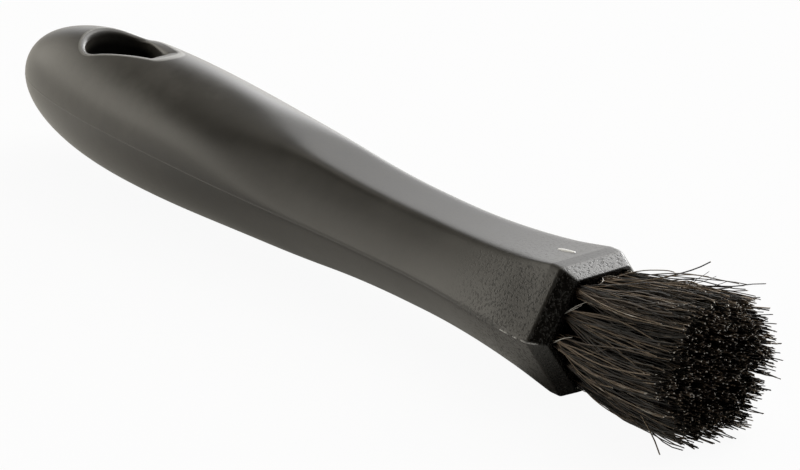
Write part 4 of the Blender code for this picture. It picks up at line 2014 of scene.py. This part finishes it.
@dataclass
class Studio:
    """A pale floor and backdrop, a soft lamp, a dark room with glows, and the camera."""

    target: Point = (18.115 * MM, 0.0, 15.648 * MM)
    azimuth: float = math.radians(52.561)
    elevation: float = math.radians(20.651)
    roll: float = math.radians(-0.374)
    distance: float = 1.08
    focal_pixels: float = 4734.286
    picture_width: int = 800
    sensor: float = 36.0
    clip: Pair = (0.05, 100.0)
    key: Lamp = Lamp("key_overhead", azimuth=86, elevation=54, distance=1.3,
                     width=0.7, height=0.34, brightness=5.8)
    glows: tuple[Glow, ...] = (
        Glow(-156, 6, 32, 1.25, WARM),
        Glow(-132, 5, 32, 1.35, WARM),
        Glow(-176, 12, 24, 1.1, WARM),
        Glow(132, 4, 32, 0.7),
        Glow(145, 9, 26, 1.1),
        Glow(108, 26, 32, 6.0),
        Glow(108, 4, 32, 4.0),
        Glow(120, 70, 32, 0.9),
        Glow(180, 70, 32, 1.2, WARM),
        Glow(40, 40, 42, 0.6),
    )
    floor_half: float = 12.0
    floor_grey: Colour = (0.6, 0.6, 0.6)
    floor_seen: float = 0.94
    floor_mirrored: float = 0.36
    # Painted light: the floor that pieces mirror grows brighter past the butt
    painted_light_beyond_butt: float = 0.64
    butt_begins: float = -62 * MM
    butt_ends: float = -172 * MM
    # Painted shadow: the floor that pieces mirror is dark around where the head touches it
    contact: Point = (90 * MM, 0.0, 0.0)
    painted_shadow_core: float = 13 * MM
    painted_shadow_edge: float = 27 * MM

    def camera(self) -> None:
        """Place the camera at the photograph's viewing angle."""
        t, e, roll = self.azimuth, self.elevation, self.roll
        ahead = Vector((-math.sin(t) * math.cos(e), math.cos(t) * math.cos(e), -math.sin(e)))
        level = Vector((math.cos(t), math.sin(t), 0.0))
        upright = level.cross(ahead)
        right = level * math.cos(roll) + upright * math.sin(roll)
        up = upright * math.cos(roll) - level * math.sin(roll)
        place = Vector(self.target) - ahead * self.distance
        data = bpy.data.cameras.new("camera")
        data.sensor_width = self.sensor
        data.lens = self.focal_pixels * self.sensor / self.picture_width
        data.clip_start, data.clip_end = self.clip
        camera = bpy.data.objects.new("camera", data)
        bpy.context.scene.collection.objects.link(camera)
        camera.matrix_world = Matrix((
            (right.x, up.x, -ahead.x, place.x),
            (right.y, up.y, -ahead.y, place.y),
            (right.z, up.z, -ahead.z, place.z),
            (0, 0, 0, 1),
        ))
        bpy.context.scene.camera = camera

    def _mirrored_floor(self, nodes: NodeTree) -> bpy.types.NodeSocket:
        """How bright a piece mirrors or passes the floor: a painted shadow where the head touches
        it, and painted light past the butt.

        Args:
            nodes: The floor's tree.

        Returns:
            A brightness, where 1 is white.
        """
        place = nodes.add("ShaderNodeTexCoord").outputs["Object"]
        off = nodes.add("ShaderNodeVectorMath", operation="DISTANCE")
        nodes.link(place, off.inputs[0])
        off.inputs[1].default_value = self.contact
        # Painted shadow around the head's contact
        floor_past_painted_shadow = nodes.remap(off.outputs["Value"], self.painted_shadow_core, self.painted_shadow_edge,
                                 0.0, self.floor_mirrored)
        along = nodes.add("ShaderNodeSeparateXYZ")
        nodes.link(place, along.inputs[0])
        # Painted light past the butt
        painted_light_past_butt = nodes.remap(along.outputs["X"], self.butt_ends, self.butt_begins,
                             self.painted_light_beyond_butt, 0.0)
        return nodes.math("ADD", floor_past_painted_shadow, painted_light_past_butt)

    def floor(self) -> None:
        """Lay a pale floor that stays near white in the picture and keeps the brush's shadow."""
        half = self.floor_half
        corners = np.array([(-half, -half, 0), (half, -half, 0), (half, half, 0), (-half, half, 0)])
        floor = new_mesh_object("floor", corners, [(0, 1, 2, 3)])
        material = bpy.data.materials.new("pale_floor")
        material.use_nodes = True
        nodes = NodeTree(material.node_tree)
        matt = nodes.add("ShaderNodeBsdfDiffuse")
        matt.inputs["Color"].default_value = (*self.floor_grey, 1)
        path = nodes.add("ShaderNodeLightPath").outputs
        glow = nodes.add("ShaderNodeEmission")
        nodes.link(nodes.blend(path["Is Camera Ray"], WARM, WHITE), glow.inputs["Color"])
        seen = nodes.scaled(path["Is Camera Ray"], self.floor_seen)
        mirrored = nodes.math("MAXIMUM", path["Is Glossy Ray"], path["Is Transmission Ray"])
        mirrored = nodes.math("MULTIPLY", mirrored, self._mirrored_floor(nodes))
        mix = nodes.add("ShaderNodeMixShader")
        nodes.link(nodes.math("MAXIMUM", seen, mirrored), mix.inputs[0])
        nodes.link(matt.outputs[0], mix.inputs[1])
        nodes.link(glow.outputs[0], mix.inputs[2])
        nodes.link(mix.outputs[0], nodes.add("ShaderNodeOutputMaterial").inputs["Surface"])
        floor.data.materials.append(material)

    def world(self) -> None:
        """Show white where the camera looks, straight or through a piece, and glows elsewhere."""
        world = bpy.data.worlds.new("studio")
        bpy.context.scene.world = world
        world.use_nodes = True
        nodes = NodeTree(world.node_tree)
        background = nodes.add("ShaderNodeBackground")
        background.inputs["Strength"].default_value = 1.0
        looking = nodes.add("ShaderNodeTexCoord").outputs["Generated"]
        room, *others = [glow.light(nodes, looking) for glow in self.glows]
        for patch in others:
            both = nodes.add("ShaderNodeVectorMath", operation="ADD")
            nodes.link(room, both.inputs[0])
            nodes.link(patch, both.inputs[1])
            room = both.outputs[0]
        path = nodes.add("ShaderNodeLightPath").outputs
        straight = nodes.math("MAXIMUM", path["Is Camera Ray"], path["Is Transmission Ray"])
        nodes.link(nodes.blend(straight, room, WHITE), background.inputs["Color"])
        nodes.link(background.outputs[0], nodes.add("ShaderNodeOutputWorld").inputs["Surface"])

    def build(self) -> None:
        """Set the whole studio."""
        bpy.context.scene.view_settings.view_transform = "Standard"
        self.camera()
        self.floor()
        self.world()
        self.key.hang(Vector(self.target))


def main() -> None:
    """Build the brush and its studio in order, and report each piece."""
    logging.basicConfig(level=logging.INFO, format="%(name)s: %(message)s")
    plastic = MouldedPlastic().material()
    hair = NaturalHair().material()
    steel = DrawnSteel().material()
    shape = HandleShape()
    head = BristleHead(shape, HairLook())
    pieces = [Handle(shape, HangingSlot(shape), head.roots()).build(plastic)]
    pieces += head.build(hair, steel)
    for piece in pieces:
        LOG.info("%s: %d faces", piece.name, len(piece.data.polygons))
    Studio().build()


if __name__ == "__main__":
    main()
